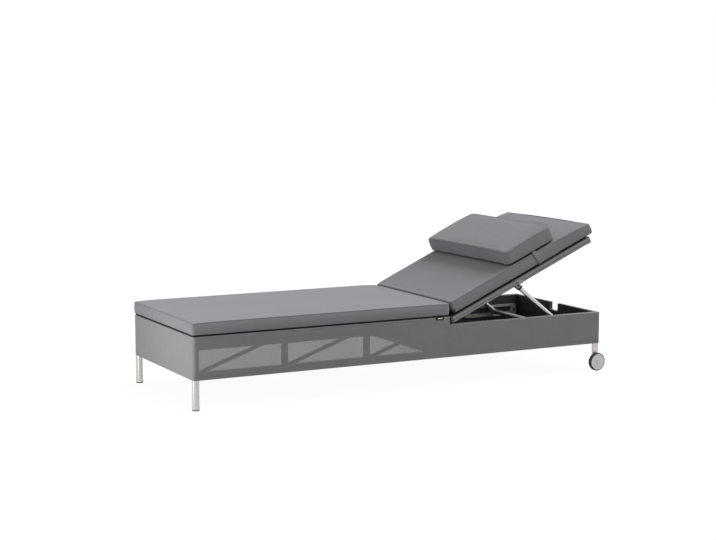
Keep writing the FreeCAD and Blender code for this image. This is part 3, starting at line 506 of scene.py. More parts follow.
# Painted shade: the stay's cross bar is a darker copy of the stay steel, for the shade it lies in under the
# backrest.
SHADED_BAR_STEEL = brushed_metal("shaded_bar_steel", (0.30, 0.295, 0.28), 0.4, CROSSWAYS)
DARK_PINS = brushed_metal("dark_pins", (0.05, 0.05, 0.05), 0.4, TURNED)
COATED = moulded("powder_coat", (0.11, 0.115, 0.115), 0.55, 700.0, 0.0001, dust=0.25)
BOARD = moulded("black_board", (0.042, 0.043, 0.038), 0.62, 260.0, 0.0002, dust=0.18,
                dusty=(0.12, 0.12, 0.115))
PLASTIC = moulded("black_plastic", (0.010, 0.010, 0.011), 0.5, 500.0, 0.00008, shine=0.15)
HUB = moulded("hub_plastic", (0.60, 0.58, 0.565), 0.36, 420.0, 0.00005, metallic=0.6)
RUBBER = moulded("tyre_rubber", (0.030, 0.030, 0.031), 0.72, 320.0, 0.0002, dust=0.35,
                 dusty=(0.16, 0.155, 0.15))

# %% [markdown]
# ## The CAD nodes get their finishes
# What CAD already has right stays as it is, and only its material changes.


# %% Finishes by node
def both(*stems):
    """The names of the left and the right node of every stem."""
    return [f"{stem}_{hand}" for stem in stems for hand, _ in HANDS]


FINISHES = {
    COATED: [*both("seat_rail", "lower_rail", "back_rail"), "head_rails", "foot_top_rail", "foot_lower_rail",
             "hinge_rail", "middle_lower_rail", "seat_bearer", "hinge_posts", "back_base_rail",
             "back_stay_rail", "back_top_rail", "hinge_plates"],
    STEEL: [*both("leg"), "levelling_feet", "strap_keepers"],
    BRACKET: ["stay_brackets"],
    STAY_STEEL: both("stay_arm"),
    SHADED_BAR_STEEL: ["stay_bar"],
    PINS: ["rack_bolts"],
    DARK_PINS: ["hinge_pins", "stay_pins"],
    RACK: ["rack_plates"],
    BOARD: ["head_end_board", "well_lining"],
    PLASTIC: ["glide_pads", "hinge_blocks", "stay_fittings"],
    HUB: [*both("hub"), "wheel_axles"],
    RUBBER: both("tyre"),
}
for material, names in FINISHES.items():
    for name in names:
        nodes[name].data.materials.clear()
        nodes[name].data.materials.append(material)

# %% [markdown]
# ## Box cushions
# Each cushion is foam in a sewn box: a top panel, a side band and a bottom panel. The top seam stands
# up as a thin welt that catches the light, and below the lower edge the cushion is set back on a black
# grip base, which reads as a dark line: it is set back into shade, and its near-black cloth also paints
# that shade in. The panels are grids over a rounded rectangle, and the side is one profile carried round it.
#
# A cut says how one cushion is made, in millimetres: its thickness, the rise of its top and the sag of
# its base, the radius of its corners in plan, the width of the seam's edge, how far its sides draw in,
# the height of its black grip base and the most that a point may swell. Then come shares: it swells towards
# the head and thins at the very end, and its corners droop. Last, again in millimetres, its sides fall,
# and its foot end is darkened as painted shade up to a height: on the back cushion that end lies in the
# deep gap at the hinge.

# %% Cuts
Cut = namedtuple("Cut", "thick crown belly radius edge pull base cap swells thins droops shoulder grip_end")
SEAT_CUT = Cut(60.0, 3.5, 0.0, 11.0, 4.5, 1.2, 8.0, 2.5, swells=0, thins=0, droops=0.05, shoulder=0,
               grip_end=0)
BACK_CUT = Cut(57.0, 2.5, 0.0, 9.0, 4.5, 1.2, 3.5, 2.0, swells=0.13, thins=0.27, droops=0.03, shoulder=1.5,
               grip_end=26)
PILLOW_CUT = Cut(69.0, 8.0, 0.5, 20.0, 7.0, 2.5, 5.0, 5.0, swells=0.07, thins=0, droops=0.06, shoulder=5,
                 grip_end=0)

# %% Cushion outlines
PANEL_PITCH = 14 * MM
CORNER_STEPS = np.array([1, 1.3, 1.55, 1.78, 1.92, 2.0])


def panel_knots(half, radius):
    """Marks from -2 to 2: within -1 to 1 evenly along the straight part, beyond it round a corner."""
    count = max(4, int(round(2 * (half - radius) / PANEL_PITCH)))
    straight = np.linspace(-1, 1, count + 1)[1:-1]
    return np.concatenate([-CORNER_STEPS[::-1], straight, CORNER_STEPS])


def rounded_plan(mark_x, mark_y, half_x, half_y, radius):
    """Marks to places on a rounded rectangle; in a corner (u, v) goes to (u sqrt(1 - v*v/2), ...)."""
    u, v = (np.clip(np.abs(mark) - 1, 0, 1) for mark in (mark_x, mark_y))
    x = np.minimum(np.abs(mark_x), 1) * (half_x - radius) + radius * u * np.sqrt(1 - v * v / 2)
    y = np.minimum(np.abs(mark_y), 1) * (half_y - radius) + radius * v * np.sqrt(1 - u * u / 2)
    return np.sign(mark_x) * x, np.sign(mark_y) * y


def outline_marks(knots_x, knots_y):
    """The marks once round the edge of the panel, without a double at the corners."""
    ends_x, ends_y = np.full(len(knots_y) - 1, 2.0), np.full(len(knots_x) - 1, 2.0)
    mark_x = np.concatenate([knots_x[:-1], ends_x, knots_x[:0:-1], -ends_x])
    mark_y = np.concatenate([-ends_y, knots_y[:-1], ends_y, knots_y[:0:-1]])
    return mark_x, mark_y


def pulled_in(x, y, half_x, half_y, pull):
    """Draws the sides in between the corners: pull * (1 - (place / half)^2) near each side."""
    drawn_x = x - pull * np.sign(x) * (np.abs(x) / half_x) ** 6 * (1 - np.clip(y / half_y, -1, 1) ** 2)
    drawn_y = y - pull * np.sign(y) * (np.abs(y) / half_y) ** 6 * (1 - np.clip(x / half_x, -1, 1) ** 2)
    return drawn_x, drawn_y


def crown_over(x, y, half_x, half_y, crown):
    """The rise of a stuffed panel: crown * (1 - |x|^8) (1 - |y|^6), with x and y from -1 to 1."""
    across_x, across_y = np.clip(np.abs(x / half_x), 0, 1), np.clip(np.abs(y / half_y), 0, 1)
    return crown * (1 - across_x ** 8) * (1 - across_y ** 6)


def droop_at_corners(points, half_x, half_y, depth, reach=90 * MM):
    """Corners hold less stuffing: the height shrinks by the share depth at each corner, fading over reach."""
    near_x = np.clip((np.abs(points[..., 0]) - half_x + reach) / reach, 0, 1)
    near_y = np.clip((np.abs(points[..., 1]) - half_y + reach) / reach, 0, 1)
    share = (near_x * near_y) ** 1.5 * depth
    return points * (1 - share[..., None] * np.array((0, 0.15, 1.0)))


# %% Cushion shape
def side_profile(cut):
    """Insets, heights, painted shade and materials down the side, from the top seam to the base."""
    edge, base = cut.edge, cut.base
    # The seam's edge row and the groove below it carry painted shade, the dark line of the seam's crease.
    top = [(edge, -0.8, 1), (edge - 1.5, 0.6, 0), (edge - 2.9, -0.4, 0), (0.3, -2.2, 0), (0.5, -3.8, 0.7),
           (0.1, -6.0, 0)]
    side = [(-1.2 * math.sin(share * math.pi), -6.0 - share * (cut.thick - base - 10.0), 0)
            for share in (0.2, 0.4, 0.6, 0.8)]
    low = [(0.2, base + 4.0, 0), (0.9, base + 1.2, 0), (2.4, base + 0.1, 0)]
    under = [(4.6, base - 0.2, 0), (5.2, base - 1.5, 0), (5.2, 1.0, 0), (6.4, 0.0, 0)]
    rows = [(inset, cut.thick + height, seam) for inset, height, seam in top + side] + low + under
    inset, height, seam = np.array(rows).T
    kinds = (np.arange(len(rows)) >= len(top + side + low) - 1).astype(int)
    return inset * MM, height * MM, seam, kinds


def box_cushion(name, body, half_x, half_y, cut):
    """The cushion about its own middle. Its thickness is thick * (1 + swells * t - thins * t^6), with t
    from 0 at the foot to 1 at the head."""
    inset, height, seam, kinds = side_profile(cut)
    radius = cut.radius * MM
    knots_x, knots_y = panel_knots(half_x, radius), panel_knots(half_y, radius)
    marks = np.meshgrid(knots_x, knots_y, indexing="ij")
    at_rim = np.maximum(*np.abs(marks)) > 1.99

    def drawn(mark_x, mark_y, row_inset):
        """Places on the outline that lies inset from the cushion's own, with its sides drawn in."""
        smaller = max(radius - row_inset, 0.5 * MM)
        x, y = rounded_plan(mark_x, mark_y, half_x - row_inset, half_y - row_inset, smaller)
        return pulled_in(x, y, half_x, half_y, cut.pull * MM)

    sheets = []
    # The top panel's rim row carries full painted shade along the seam; the bottom panel carries none.
    for row, bulge, inner_rise in ((0, cut.crown, 0.8), (-1, -cut.belly, 0)):
        x, y = drawn(*marks, inset[row])
        rim = np.where(at_rim, height[row], height[row] + inner_rise * MM)
        z = rim + crown_over(x, y, half_x - inset[row], half_y - inset[row], bulge * MM)
        sheets.append(grid_sheet(gather(x, y, z), gather(x, y), flip=row == -1,
                                 kinds=np.full(len(knots_x), -row), seam=at_rim * (1.0 + row)))
    rim_marks = outline_marks(knots_x, knots_y)
    band = np.stack([gather(*drawn(*rim_marks, row_inset), row_height)
                     for row_inset, row_height in zip(inset, height)])
    widest = np.concatenate([band[8], band[8, :1]])
    cloth = gather(distances_along(widest)[None, :], distances_along(gather(inset, height))[:, None])
    sheets.append(grid_sheet(band, cloth, wrap_columns=True, flip=True, kinds=kinds, seam=seam[:, None]))
    for sheet in sheets:
        points = sheet["points"]
        reach = (points[:, 0] / half_x + 1) / 2
        near_side = np.clip((np.abs(points[:, 1]) - half_y + 45 * MM) / (45 * MM), 0, 1)
        high = points[:, 2] / (cut.thick * MM)
        # Painted shade: the foot end is darkened up to the cut's height, for the deep shadow where the back
        # cushion meets the seat at the hinge.
        under_shaded_end = np.clip((cut.grip_end * MM - points[:, 2]) / (5 * MM), 0, 1)
        sheet["seam"] = np.maximum(sheet["seam"], 1.15 * (points[:, 0] < -half_x + 7 * MM) * under_shaded_end)
        points[:, 2] *= 1 + cut.swells * reach - cut.thins * np.clip(reach, 0, 1) ** 6
        points[:, 2] -= cut.shoulder * MM * near_side ** 2 * high
        sheet["points"] = droop_at_corners(points, half_x, half_y, cut.droops)
    return build_piece(name, sheets, body, [CUSHION, CUSHION_BASE])


# %% [markdown]
# Blender's cloth swells the box from inside. Gravity is off, the underside and the seam's edge are held,
# and no point may move further than the cap, so the cushion stays in its space. The swollen shape is
# written back into the mesh, and one subdivision smooths it.

# %% Swelling by cloth simulation
PRESSURE, LAST_FRAME = 4.0, 20


def swell(piece, half_x, half_y, cut):
    """Runs the frames of pressure, caps each point's move at the cut's cap, and keeps the result."""
    start = vertex_places(piece)
    held = piece.vertex_groups.new(name="held")
    from_rim = np.minimum(half_x - np.abs(start[:, 0]), half_y - np.abs(start[:, 1]))
    in_seam = (from_rim < (cut.edge + cut.pull + 1) * MM) & (start[:, 2] > (cut.thick - 5) * MM)
    held.add(np.nonzero((start[:, 2] < 9 * MM) | in_seam)[0].tolist(), 1.0, "REPLACE")
    modifier = piece.modifiers.new("cloth", "CLOTH")
    settings = modifier.settings
    settings.vertex_group_mass = "held"
    settings.use_pressure = True
    settings.uniform_pressure_force = PRESSURE
    settings.effector_weights.gravity = 0
    settings.quality = 6
    for number in range(1, LAST_FRAME + 1):
        scene.frame_set(number)
    way = vertex_places(evaluated(piece)) - start
    piece.modifiers.remove(modifier)
    piece.vertex_groups.remove(held)
    scene.frame_set(1)
    far, cap = np.linalg.norm(way, axis=1), cut.cap * MM
    share = cap * np.tanh(far / cap) / np.maximum(far, 1e-9)
    set_places(piece, start + way * share[:, None])
    smooth = piece.modifiers.new("subdivision", "SUBSURF")
    smooth.levels = smooth.render_levels = 1


# %% Seat cushion, back cushion and pillow
def back_places(name):
    """How far along and above the hinge a backrest node starts and ends."""
    local = vertex_places(nodes[name]) - HINGE
    along, above = local @ ALONG, local @ ABOVE
    return along.min(), along.max(), above.min(), above.max()


def lay_cushion(name, node, body, start, end, half_wide, height, cut, fill, reclined=True):
    """Makes one cushion between start and end and swells it. It then takes its CAD solid's place, at a
    height above the backrest or above the floor."""
    half_long, middle = (end - start) / 2, (start + end) / 2
    piece = box_cushion(name, body, half_long, half_wide, cut)
    swell(piece, half_long, half_wide, cut)
    matrix = Matrix.Translation((middle, 0, height))
    if reclined:
        matrix = Matrix((ALONG, ACROSS, ABOVE)).transposed().to_4x4()
        matrix.translation = Vector(HINGE + middle * ALONG + height * ABOVE)
    piece.data.transform(matrix)
    piece.data.update()
    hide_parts(node)
    return piece


lay_cushion("seat_cushion_cover", "seat_cushion", "base", FOOT_X - 0.5 * MM, STEP_X + 1 * MM, OUTSIDE,
            node_box("seat_cushion")[0][2], SEAT_CUT, 0.85, reclined=False)
back_start, back_end, back_low, _ = back_places("back_cushion")
back = lay_cushion("back_cushion_cover", "back_cushion", "backrest", back_start - 3 * MM, back_end + 8 * MM,
                   node_box("back_cushion")[1][1] + 1 * MM, back_low, BACK_CUT, 0.85)
lay_cushion("pillow_cover", "headrest_pillow", "headrest", *back_places("headrest_pillow")[:2],
            node_box("headrest_pillow")[1][1] + 4 * MM, back_low + 66 * MM, PILLOW_CUT, 0.75)

# %% [markdown]
# ## The pillow's band
# A wide band of the same cloth runs round the back cushion and carries the pillow. It is stretched, so
# it hugs the cushion: a loop is drawn a little too wide and then shrink-wrapped onto the cushion.

# %% Band
HEM_WIDE, HEM_LEAN, HEM_RISE = 20 * MM, 14 * MM, 9 * MM
BAND_SQUARE, BAND_GAP, BAND_THICK = 0.12, 1.3 * MM, 0.9 * MM


def make_band():
    """A flat loop round the cushion's section, carried along the backrest for the band's width. The
    foot edge leans from bottom to top, is hemmed, and rises at both sides to the pillow's seam."""
    start, end, low, high = back_places("headrest_band")
    start = start - 6 * MM
    half = node_box("headrest_band")[1][1]
    turn = np.linspace(0, 2 * math.pi, 180, endpoint=False)
    out, up = (np.sign(wave) * np.abs(wave) ** BAND_SQUARE for wave in (np.cos(turn), np.sin(turn)))
    y, above = half * out, (low + high) / 2 + (high - low) / 2 * up
    along = np.concatenate([[start, start + 1.2 * MM], np.linspace(start + 2.4 * MM, start + HEM_WIDE, 9),
                            np.linspace(start + HEM_WIDE + 1.5 * MM, end, 18)])
    leaning = HEM_LEAN * (above - low) / (high - low) * ((end - along) / (end - start))[:, None]
    local = gather(along[:, None] - leaning, y[None, :], above[None, :])
    around = distances_along(np.concatenate([local[0], local[0][:1]]))
    # Painted shadow: the first rows at the hem's foot edge are darkened, for the shadow line beside the hem.
    hem_shadow_line = (along < start + 1.5 * MM) * 0.95
    sheet = grid_sheet(on_backrest(local), gather(along[:, None], around[None, :]), wrap_columns=True,
                       seam=hem_shadow_line[:, None])
    piece = build_piece("pillow_band", [sheet], "headrest", [CUSHION], merge=0, outward=True)
    wrap = piece.modifiers.new("hug", "SHRINKWRAP")
    wrap.target, wrap.offset = back, BAND_GAP
    wrap.wrap_method, wrap.wrap_mode = "NEAREST_SURFACEPOINT", "ABOVE_SURFACE"
    places = vertex_places(evaluated(piece))
    piece.modifiers.remove(wrap)
    set_places(piece, places)
    proud = np.interp(along, [start, start + HEM_WIDE, start + HEM_WIDE + 4 * MM, end - 30 * MM, end],
                      [1.2, 1.2, 0, 0, -1.5]) * MM
    at_top = np.clip((above - high + 8 * MM) / (6 * MM), 0, 1)
    at_top = at_top * np.clip((np.abs(y) - half + 26 * MM) / (14 * MM), 0, 1)
    rises = np.clip((start + HEM_WIDE - along) / (4 * MM), 0, 1)[:, None] * at_top * HEM_RISE
    places = places + vertex_places(piece, "normal") * np.repeat(proud, len(turn))[:, None]
    set_places(piece, places + rises.ravel()[:, None] * ABOVE)
    thick = piece.modifiers.new("thickness", "SOLIDIFY")
    thick.thickness, thick.offset = BAND_THICK, -1
    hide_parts("headrest_band")


make_band()

# %% [markdown]
# ## The skirt
# One length of mesh runs right round the frame. It is stretched over the rails: folded under them
# below, and over their rims above. Its outline is a rounded rectangle, each row of the grid is that
# outline drawn in by some inset, and the rim's height changes at the backrest and in the hand notch.

# %% Skirt outline
FOOT_CORNER, HEAD_CORNER = 16 * MM, 7 * MM
NOTCH_HALF, NOTCH_ROUND, NOTCH_DEEP = 33 * MM, 10 * MM, 38 * MM


def skirt_stations():
    """Marks once round the frame: which stretch each lies on, and where along it from 0 to 1 or in metres."""
    near_step = np.array([STEP_X - 0.15 * MM, STEP_X + 0.15 * MM])
    side = np.concatenate([np.linspace(FOOT_X + 0.02, STEP_X - 0.01, 90), near_step,
                           np.linspace(STEP_X + 0.01, HEAD_X - 0.008, 60)])
    turn = np.linspace(0, 1, 9)
    across = np.linspace(-OUTSIDE + 0.03, -NOTCH_HALF - 0.01, 24)
    curve = NOTCH_HALF - NOTCH_ROUND * (1 - np.cos(np.linspace(0, math.pi / 2, 7)))
    notch = np.concatenate([[NOTCH_HALF + 0.15 * MM], curve])
    head = np.concatenate([across, -notch, [0], notch[::-1], -across[::-1]])
    foot = np.linspace(OUTSIDE - 0.02, -OUTSIDE + 0.02, 60)
    parts = [("left", side), ("head_left", turn), ("head", head), ("head_right", turn),
             ("right", side[::-1]), ("foot_right", turn), ("foot", foot), ("foot_left", turn)]
    names = np.concatenate([[name] * len(marks) for name, marks in parts])
    return names, np.concatenate([marks for _, marks in parts])


def skirt_row(names, marks, inset_ends, inset_sides):
    """X and Y of every station for insets from the foot and head faces and from the side faces."""
    x, y = np.zeros(len(marks)), np.zeros(len(marks))
    inset_ends, inset_sides = (np.broadcast_to(inset, marks.shape) for inset in (inset_ends, inset_sides))
    for corner, radius, face, way in (("foot", FOOT_CORNER, FOOT_X, -1), ("head", HEAD_CORNER, HEAD_X, 1)):
        for hand, sign in HANDS:
            chosen = names == f"{corner}_{hand}"
            ends, sides = inset_ends[chosen], inset_sides[chosen]
            small = np.maximum(radius - np.maximum(ends, sides), 0.3 * MM)
            angle = marks[chosen] * math.pi / 2
            out_x, out_y = np.cos(angle), np.sin(angle)
            if (corner, hand) in (("head", "left"), ("foot", "right")):
                out_x, out_y = out_y, out_x
            x[chosen] = face - way * (ends + small) + way * small * out_x
            y[chosen] = sign * (OUTSIDE - sides - small + small * out_y)
        chosen = names == corner
        x[chosen], y[chosen] = face - way * inset_ends[chosen], marks[chosen]
    for name, sign in HANDS:
        chosen = names == name
        x[chosen], y[chosen] = marks[chosen], sign * (OUTSIDE - inset_sides[chosen])
    return x, y


def rim_height(names, marks):
    """The height of the rim: the seat's, then lower round the well, with the notch's round bottom."""
    low = np.isin(names, ("head", "head_left", "head_right"))
    low |= np.isin(names, ("left", "right")) & (marks > STEP_X)
    height = np.where(low, HEAD_RIM, SEAT_RIM)
    past = np.clip(np.abs(marks) - (NOTCH_HALF - NOTCH_ROUND), 0, NOTCH_ROUND)
    curve = HEAD_RIM - NOTCH_DEEP + NOTCH_ROUND - np.sqrt(NOTCH_ROUND ** 2 - past ** 2)
    return np.where((names == "head") & (np.abs(marks) <= NOTCH_HALF), curve, height), low


# %% Skirt
UNDER = [(4.0, -0.5), (1.6, -0.6), (0.9, -0.2), (0.55, 1.0), (0.45, 9.0), (0.75, 10.0), (0.55, 11.0)]
OVER = [(0.55, -11.0), (0.75, -10.0), (0.45, -9.0), (0.5, -1.2), (0.9, -0.1)]
ON_RIM = [(0.09, 0.45), (0.3, 0.6), (0.75, 0.6), (0.97, 0.4), (1.0, -0.6), (1.0, -1.6)]


def make_skirt():
    """Rows of (inset, rise) in mm lie under the lower rails and over the rims, with even rows between
    them. On the rim each row covers a share of the rail."""
    names, marks = skirt_stations()
    rim, low = rim_height(names, marks)
    cover_sides = np.where(low, 26.4 * MM, 7 * MM)
    in_notch = (names == "head") & (np.abs(marks) < NOTCH_HALF + 0.2 * MM)
    cover_ends = np.where(in_notch, 3 * MM, np.where(low, 17.0 * MM, 7 * MM))
    start, end = SKIRT_LOW + 11 * MM, rim - 11 * MM
    rows = [(inset * MM, SKIRT_LOW + rise * MM) for inset, rise in UNDER]
    rows += [(0.55 * MM, start + share * (end - start)) for share in np.linspace(0, 1, 14)[1:-1]]
    rows += [(inset * MM, rim + rise * MM) for inset, rise in OVER]
    rows = [(inset, inset, height) for inset, height in rows]
    for share, rise in ON_RIM:
        rows.append((np.maximum(cover_ends * share, 1.5 * MM), np.maximum(cover_sides * share, 1.5 * MM),
                     rim + np.where(low, rise, min(rise, 0.1)) * MM))
    points = np.stack([gather(*skirt_row(names, marks, ends, sides), height) for ends, sides, height in rows])
    around = distances_along(np.concatenate([points[4, :, :2], points[4, :1, :2]]))
    down = distances_along(points[:, 0])
    heights = np.concatenate([points[..., 2], points[:, :1, 2]], 1)
    on_face = np.arange(len(points))[:, None] < len(points) - len(OVER + ON_RIM)
    cloth = gather(around[None, :], np.where(on_face, heights, down[:, None] + SKIRT_LOW))
    piece = build_piece("woven_skirt", [grid_sheet(points, cloth, wrap_columns=True)], "base",
                        [SKIRT], merge=0)
    x = points[..., 0]
    # Painted light: the foot end is woven closed so that it reads as evenly lit; towards the head the sides are
    # woven a little closer as well.
    add_values(piece.data, "denser_for_light", np.maximum(np.clip((FOOT_X + 0.012 - x) / 0.008, 0, 1),
                                               0.22 * np.clip((x + 0.15) / 0.25, 0, 1)))
    add_values(piece.data, "lined", np.clip((x - STEP_X + 0.02) / 0.004, 0, 1))
    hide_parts("foot_skirt", "head_skirt", "side_skirt_left", "side_skirt_right")
    print("skirt is", round(around[-1], 3), "m round and", round(down[-1], 3), "m high")


make_skirt()

# %% [markdown]
# ## Truss bars and wheel posts
# Through the mesh the photograph shows slim posts and flat sloping braces, and the wheels hang on flat
# steel bars. They are drawn a little slimmer than the frame's solids, as rounded sections carried upright
# from rail to rail, and they stand where those solids stand.


# %% Upright bars
def upright_bar(name, node, middles, halves, y_low, y_high, heights, slot, material, left_most=-math.inf):
    """A rounded rectangle carried up through heights: at each height its middle X comes from middles and
    its half length from halves, and the two ends are closed in a point."""
    y_middle, y_half = (y_low + y_high) / 2, (y_high - y_low) / 2
    knots = np.concatenate([-CORNER_STEPS[::-1], [-0.5, 0, 0.5], CORNER_STEPS])
    marks, rows = outline_marks(knots, knots), []
    for middle, half, height in np.broadcast(middles, halves, heights):
        radius = min(1.8 * MM, 0.6 * half, 0.6 * y_half)
        x, y = rounded_plan(*marks, half, y_half, radius)
        rows.append(gather(np.maximum(x + middle, left_most), y + y_middle, height))
    ends = [np.broadcast_to(row.mean(0), row.shape) for row in (rows[0], rows[-1])]
    sheet = grid_sheet(np.stack([ends[0], *rows, ends[1]]), wrap_columns=True)
    piece = build_piece(name, [sheet], "base", [material], merge=2e-6, outward=True)
    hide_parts(node)


def make_truss(hand):
    """Posts keep their middle and 0.83 of their length; a brace's two sloping edges move in by a fifth of
    its length each."""
    for number in (1, 2):
        low, high = node_box(f"post_{number}_{hand}")
        upright_bar(f"truss_post_{number}_{hand}", f"post_{number}_{hand}", (low[0] + high[0]) / 2,
                    0.83 * (high[0] - low[0]) / 2, low[1], high[1], np.linspace(low[2], high[2], 8),
                    "coated_frame", COATED)
    for number in (1, 2, 3):
        node = f"brace_{number}_{hand}"
        low, high = node_box(node)
        co = vertex_places(nodes[node])
        toe, heel = co[co[:, 2] < low[2] + 1e-5, 0].max(), co[co[:, 2] > high[2] - 1e-5, 0].min()
        wide = high[0] - heel
        heights = np.linspace(low[2], high[2], 30)
        middles = toe - wide / 2 + (heights - low[2]) / (high[2] - low[2]) * (high[0] - toe)
        upright_bar(f"truss_{node}", node, middles, 0.3 * wide, low[1], high[1], heights, "coated_frame",
                    COATED, left_most=low[0])


def make_wheel_post(hand, sign):
    """A flat bar, round at its lower end: there its half length is sqrt(r^2 - (r - h)^2) at height h."""
    low, high = node_box("wheel_posts")
    axle = node_box("tyre_left")
    half, thick = 14 * MM, 12 * MM
    bottom = (axle[0][2] + axle[1][2]) / 2 - half
    round_heights = half * (1 - np.cos(np.linspace(0.25, math.pi / 2, 10)))
    heights = np.concatenate([bottom + round_heights, np.linspace(bottom + half + 10 * MM, high[2], 12)])
    below = np.clip(half - (heights - bottom), 0, half)
    y = sorted((sign * high[1], sign * (high[1] - thick)))
    upright_bar(f"wheel_bar_{hand}", "wheel_posts", (low[0] + high[0]) / 2 + 1 * MM,
                np.sqrt(half ** 2 - below ** 2), *y, heights, "brushed_steel", STEEL)


for hand, sign in HANDS:
    make_truss(hand)
for hand, sign in HANDS:
    make_wheel_post(hand, sign)

# %% [markdown]
# ## Slings and sleeve
# The seat sling is pulled flat over the frame and sags a little between the rails. On the backrest the
# mesh is a sleeve: it wraps the two side rails, and a strip folds over the rail at the head.


# %% Seat sling
CORNER, CORNER_CUT, SAG = 16 * MM, 15 * MM, 3.5 * MM


def make_seat_sling():
    low, high = node_box("seat_sling")
    x = np.linspace(low[0] + 1 * MM, high[0] - 1 * MM, 80)
    y = np.linspace(low[1] + 1 * MM, high[1] - 1 * MM, 48)
    x, y = np.meshgrid(x, y, indexing="ij")
    inset = np.clip(FOOT_X + CORNER - x, 0, CORNER) / CORNER
    y = np.clip(y, low[1] + CORNER_CUT * inset ** 2, high[1] - CORNER_CUT * inset ** 2)
    span_y = np.clip(1 - (y / (OUTSIDE - 30 * MM)) ** 2, 0, 1)
    halves = np.abs(np.sin(2 * math.pi * (x - low[0] - 0.02) / (high[0] - low[0] - 0.04)))
    z = high[2] - 0.6 * MM - SAG * span_y * halves ** 0.8
    sheet = grid_sheet(gather(x, y, z), gather(x, y))
    piece = build_piece("seat_sling_mesh", [sheet], "base", [SLING])
    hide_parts("seat_sling")


# %% Back sleeve
def sleeve_sheet(name, profile, lengths, lengthwise, seam=0.0):
    """A profile in mm carried along lengths. Lengthwise its points are (across, above) and go along the
    backrest; otherwise they are (along, above) and go across it. The cloth map follows the profile."""
    profile = np.asarray(profile, float) * MM
    steps = distances_along(profile)
    turned, above = profile[None, :, 0], profile[None, :, 1]
    local = gather(*((lengths[:, None], turned) if lengthwise else (turned, lengths[:, None])), above)
    sheet = grid_sheet(on_backrest(local), gather(lengths[:, None], steps[None, :]), seam=seam)
    piece = build_piece(name, [sheet], "backrest", [SLEEVE], outward=True)
    return piece, steps[-1]


def make_back_sleeve():
    half, rail, bottom = OUTSIDE / MM, 25.0, -13.5
    start, end, _, high = (value / MM for value in back_places("back_sling"))
    top = high - 0.3
    side = [(half - rail + 0.4, bottom - 0.2), (half - rail + 2, bottom - 0.7), (half - 2.5, bottom - 0.7),
            (half - 0.6, bottom - 0.3), (half + 0.5, bottom + 0.9), (half + 0.7, bottom + 2.5),
            (half + 0.7, -5.4), (half + 0.3, -4.4), (half + 0.1, -3.4), (half + 0.3, -2.4), (half + 0.7, -1.4),
            (half + 0.7, 9.8),
            (half - 0.3, 10.4), (half - 1.0, 12.0), (half - 1.2, 13.6), (half - 1.9, top - 0.2),
            (half - 3.5, top)]
    middle = [(y, top - 2.2 * (1 - (y / 322) ** 2)) for y in np.linspace(half - rail, -(half - rail), 40)]
    profile = [*side, *middle, *[(-y, above) for y, above in reversed(side)]]
    # Painted shade: the sleeve's top, the sling under the back cushion, is darkened near black, partly the
    # sling's own dark colour and partly the shadow gap under the cushion; a groove on each side is darkened by
    # half, as shade in it.
    in_seam = np.array([1.0 if above > 10 else 0.5 * (-4.5 < above < -2.3) for _, above in profile])
    lengths = np.linspace(start + 9, end, 60) * MM
    sleeve, across = sleeve_sheet("back_sleeve", profile, lengths, True, in_seam[None, :])
    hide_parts("back_sling")
    fold = [(end - 13, top + 0.25), (end - 1.5, top + 0.25), (end + 0.2, top - 0.2), (end + 0.9, top - 1.6),
            (end + 0.9, 0), (end + 0.9, bottom + 1.5), (end + 0.2, bottom - 0.6), (end - 1.5, bottom - 0.95),
            (end - 24, bottom - 0.95)]
    widths = np.linspace(-(half + 0.4), half + 0.4, 50) * MM
    strip, length = sleeve_sheet("back_sleeve_end", fold, widths, False)


make_seat_sling()
make_back_sleeve()

# %% [markdown]
# ## Wheels
# The tyre is a ring of rubber with round shoulders and a fine tread. The hub's face is moulded, with a
# raised ring and a shallow dish. Both are lathe work: a profile turned about the axle.


# %% Tyres and hub faces
def lathe(radii, offsets, middle, sides):
    """A profile of radii and of offsets along Y, turned about the line through middle."""
    turn = np.linspace(0, 2 * math.pi, sides, endpoint=False)
    radii, offsets = np.asarray(radii)[:, None], np.asarray(offsets)[:, None]
    return gather(radii * np.cos(turn), offsets, radii * np.sin(turn)) + middle


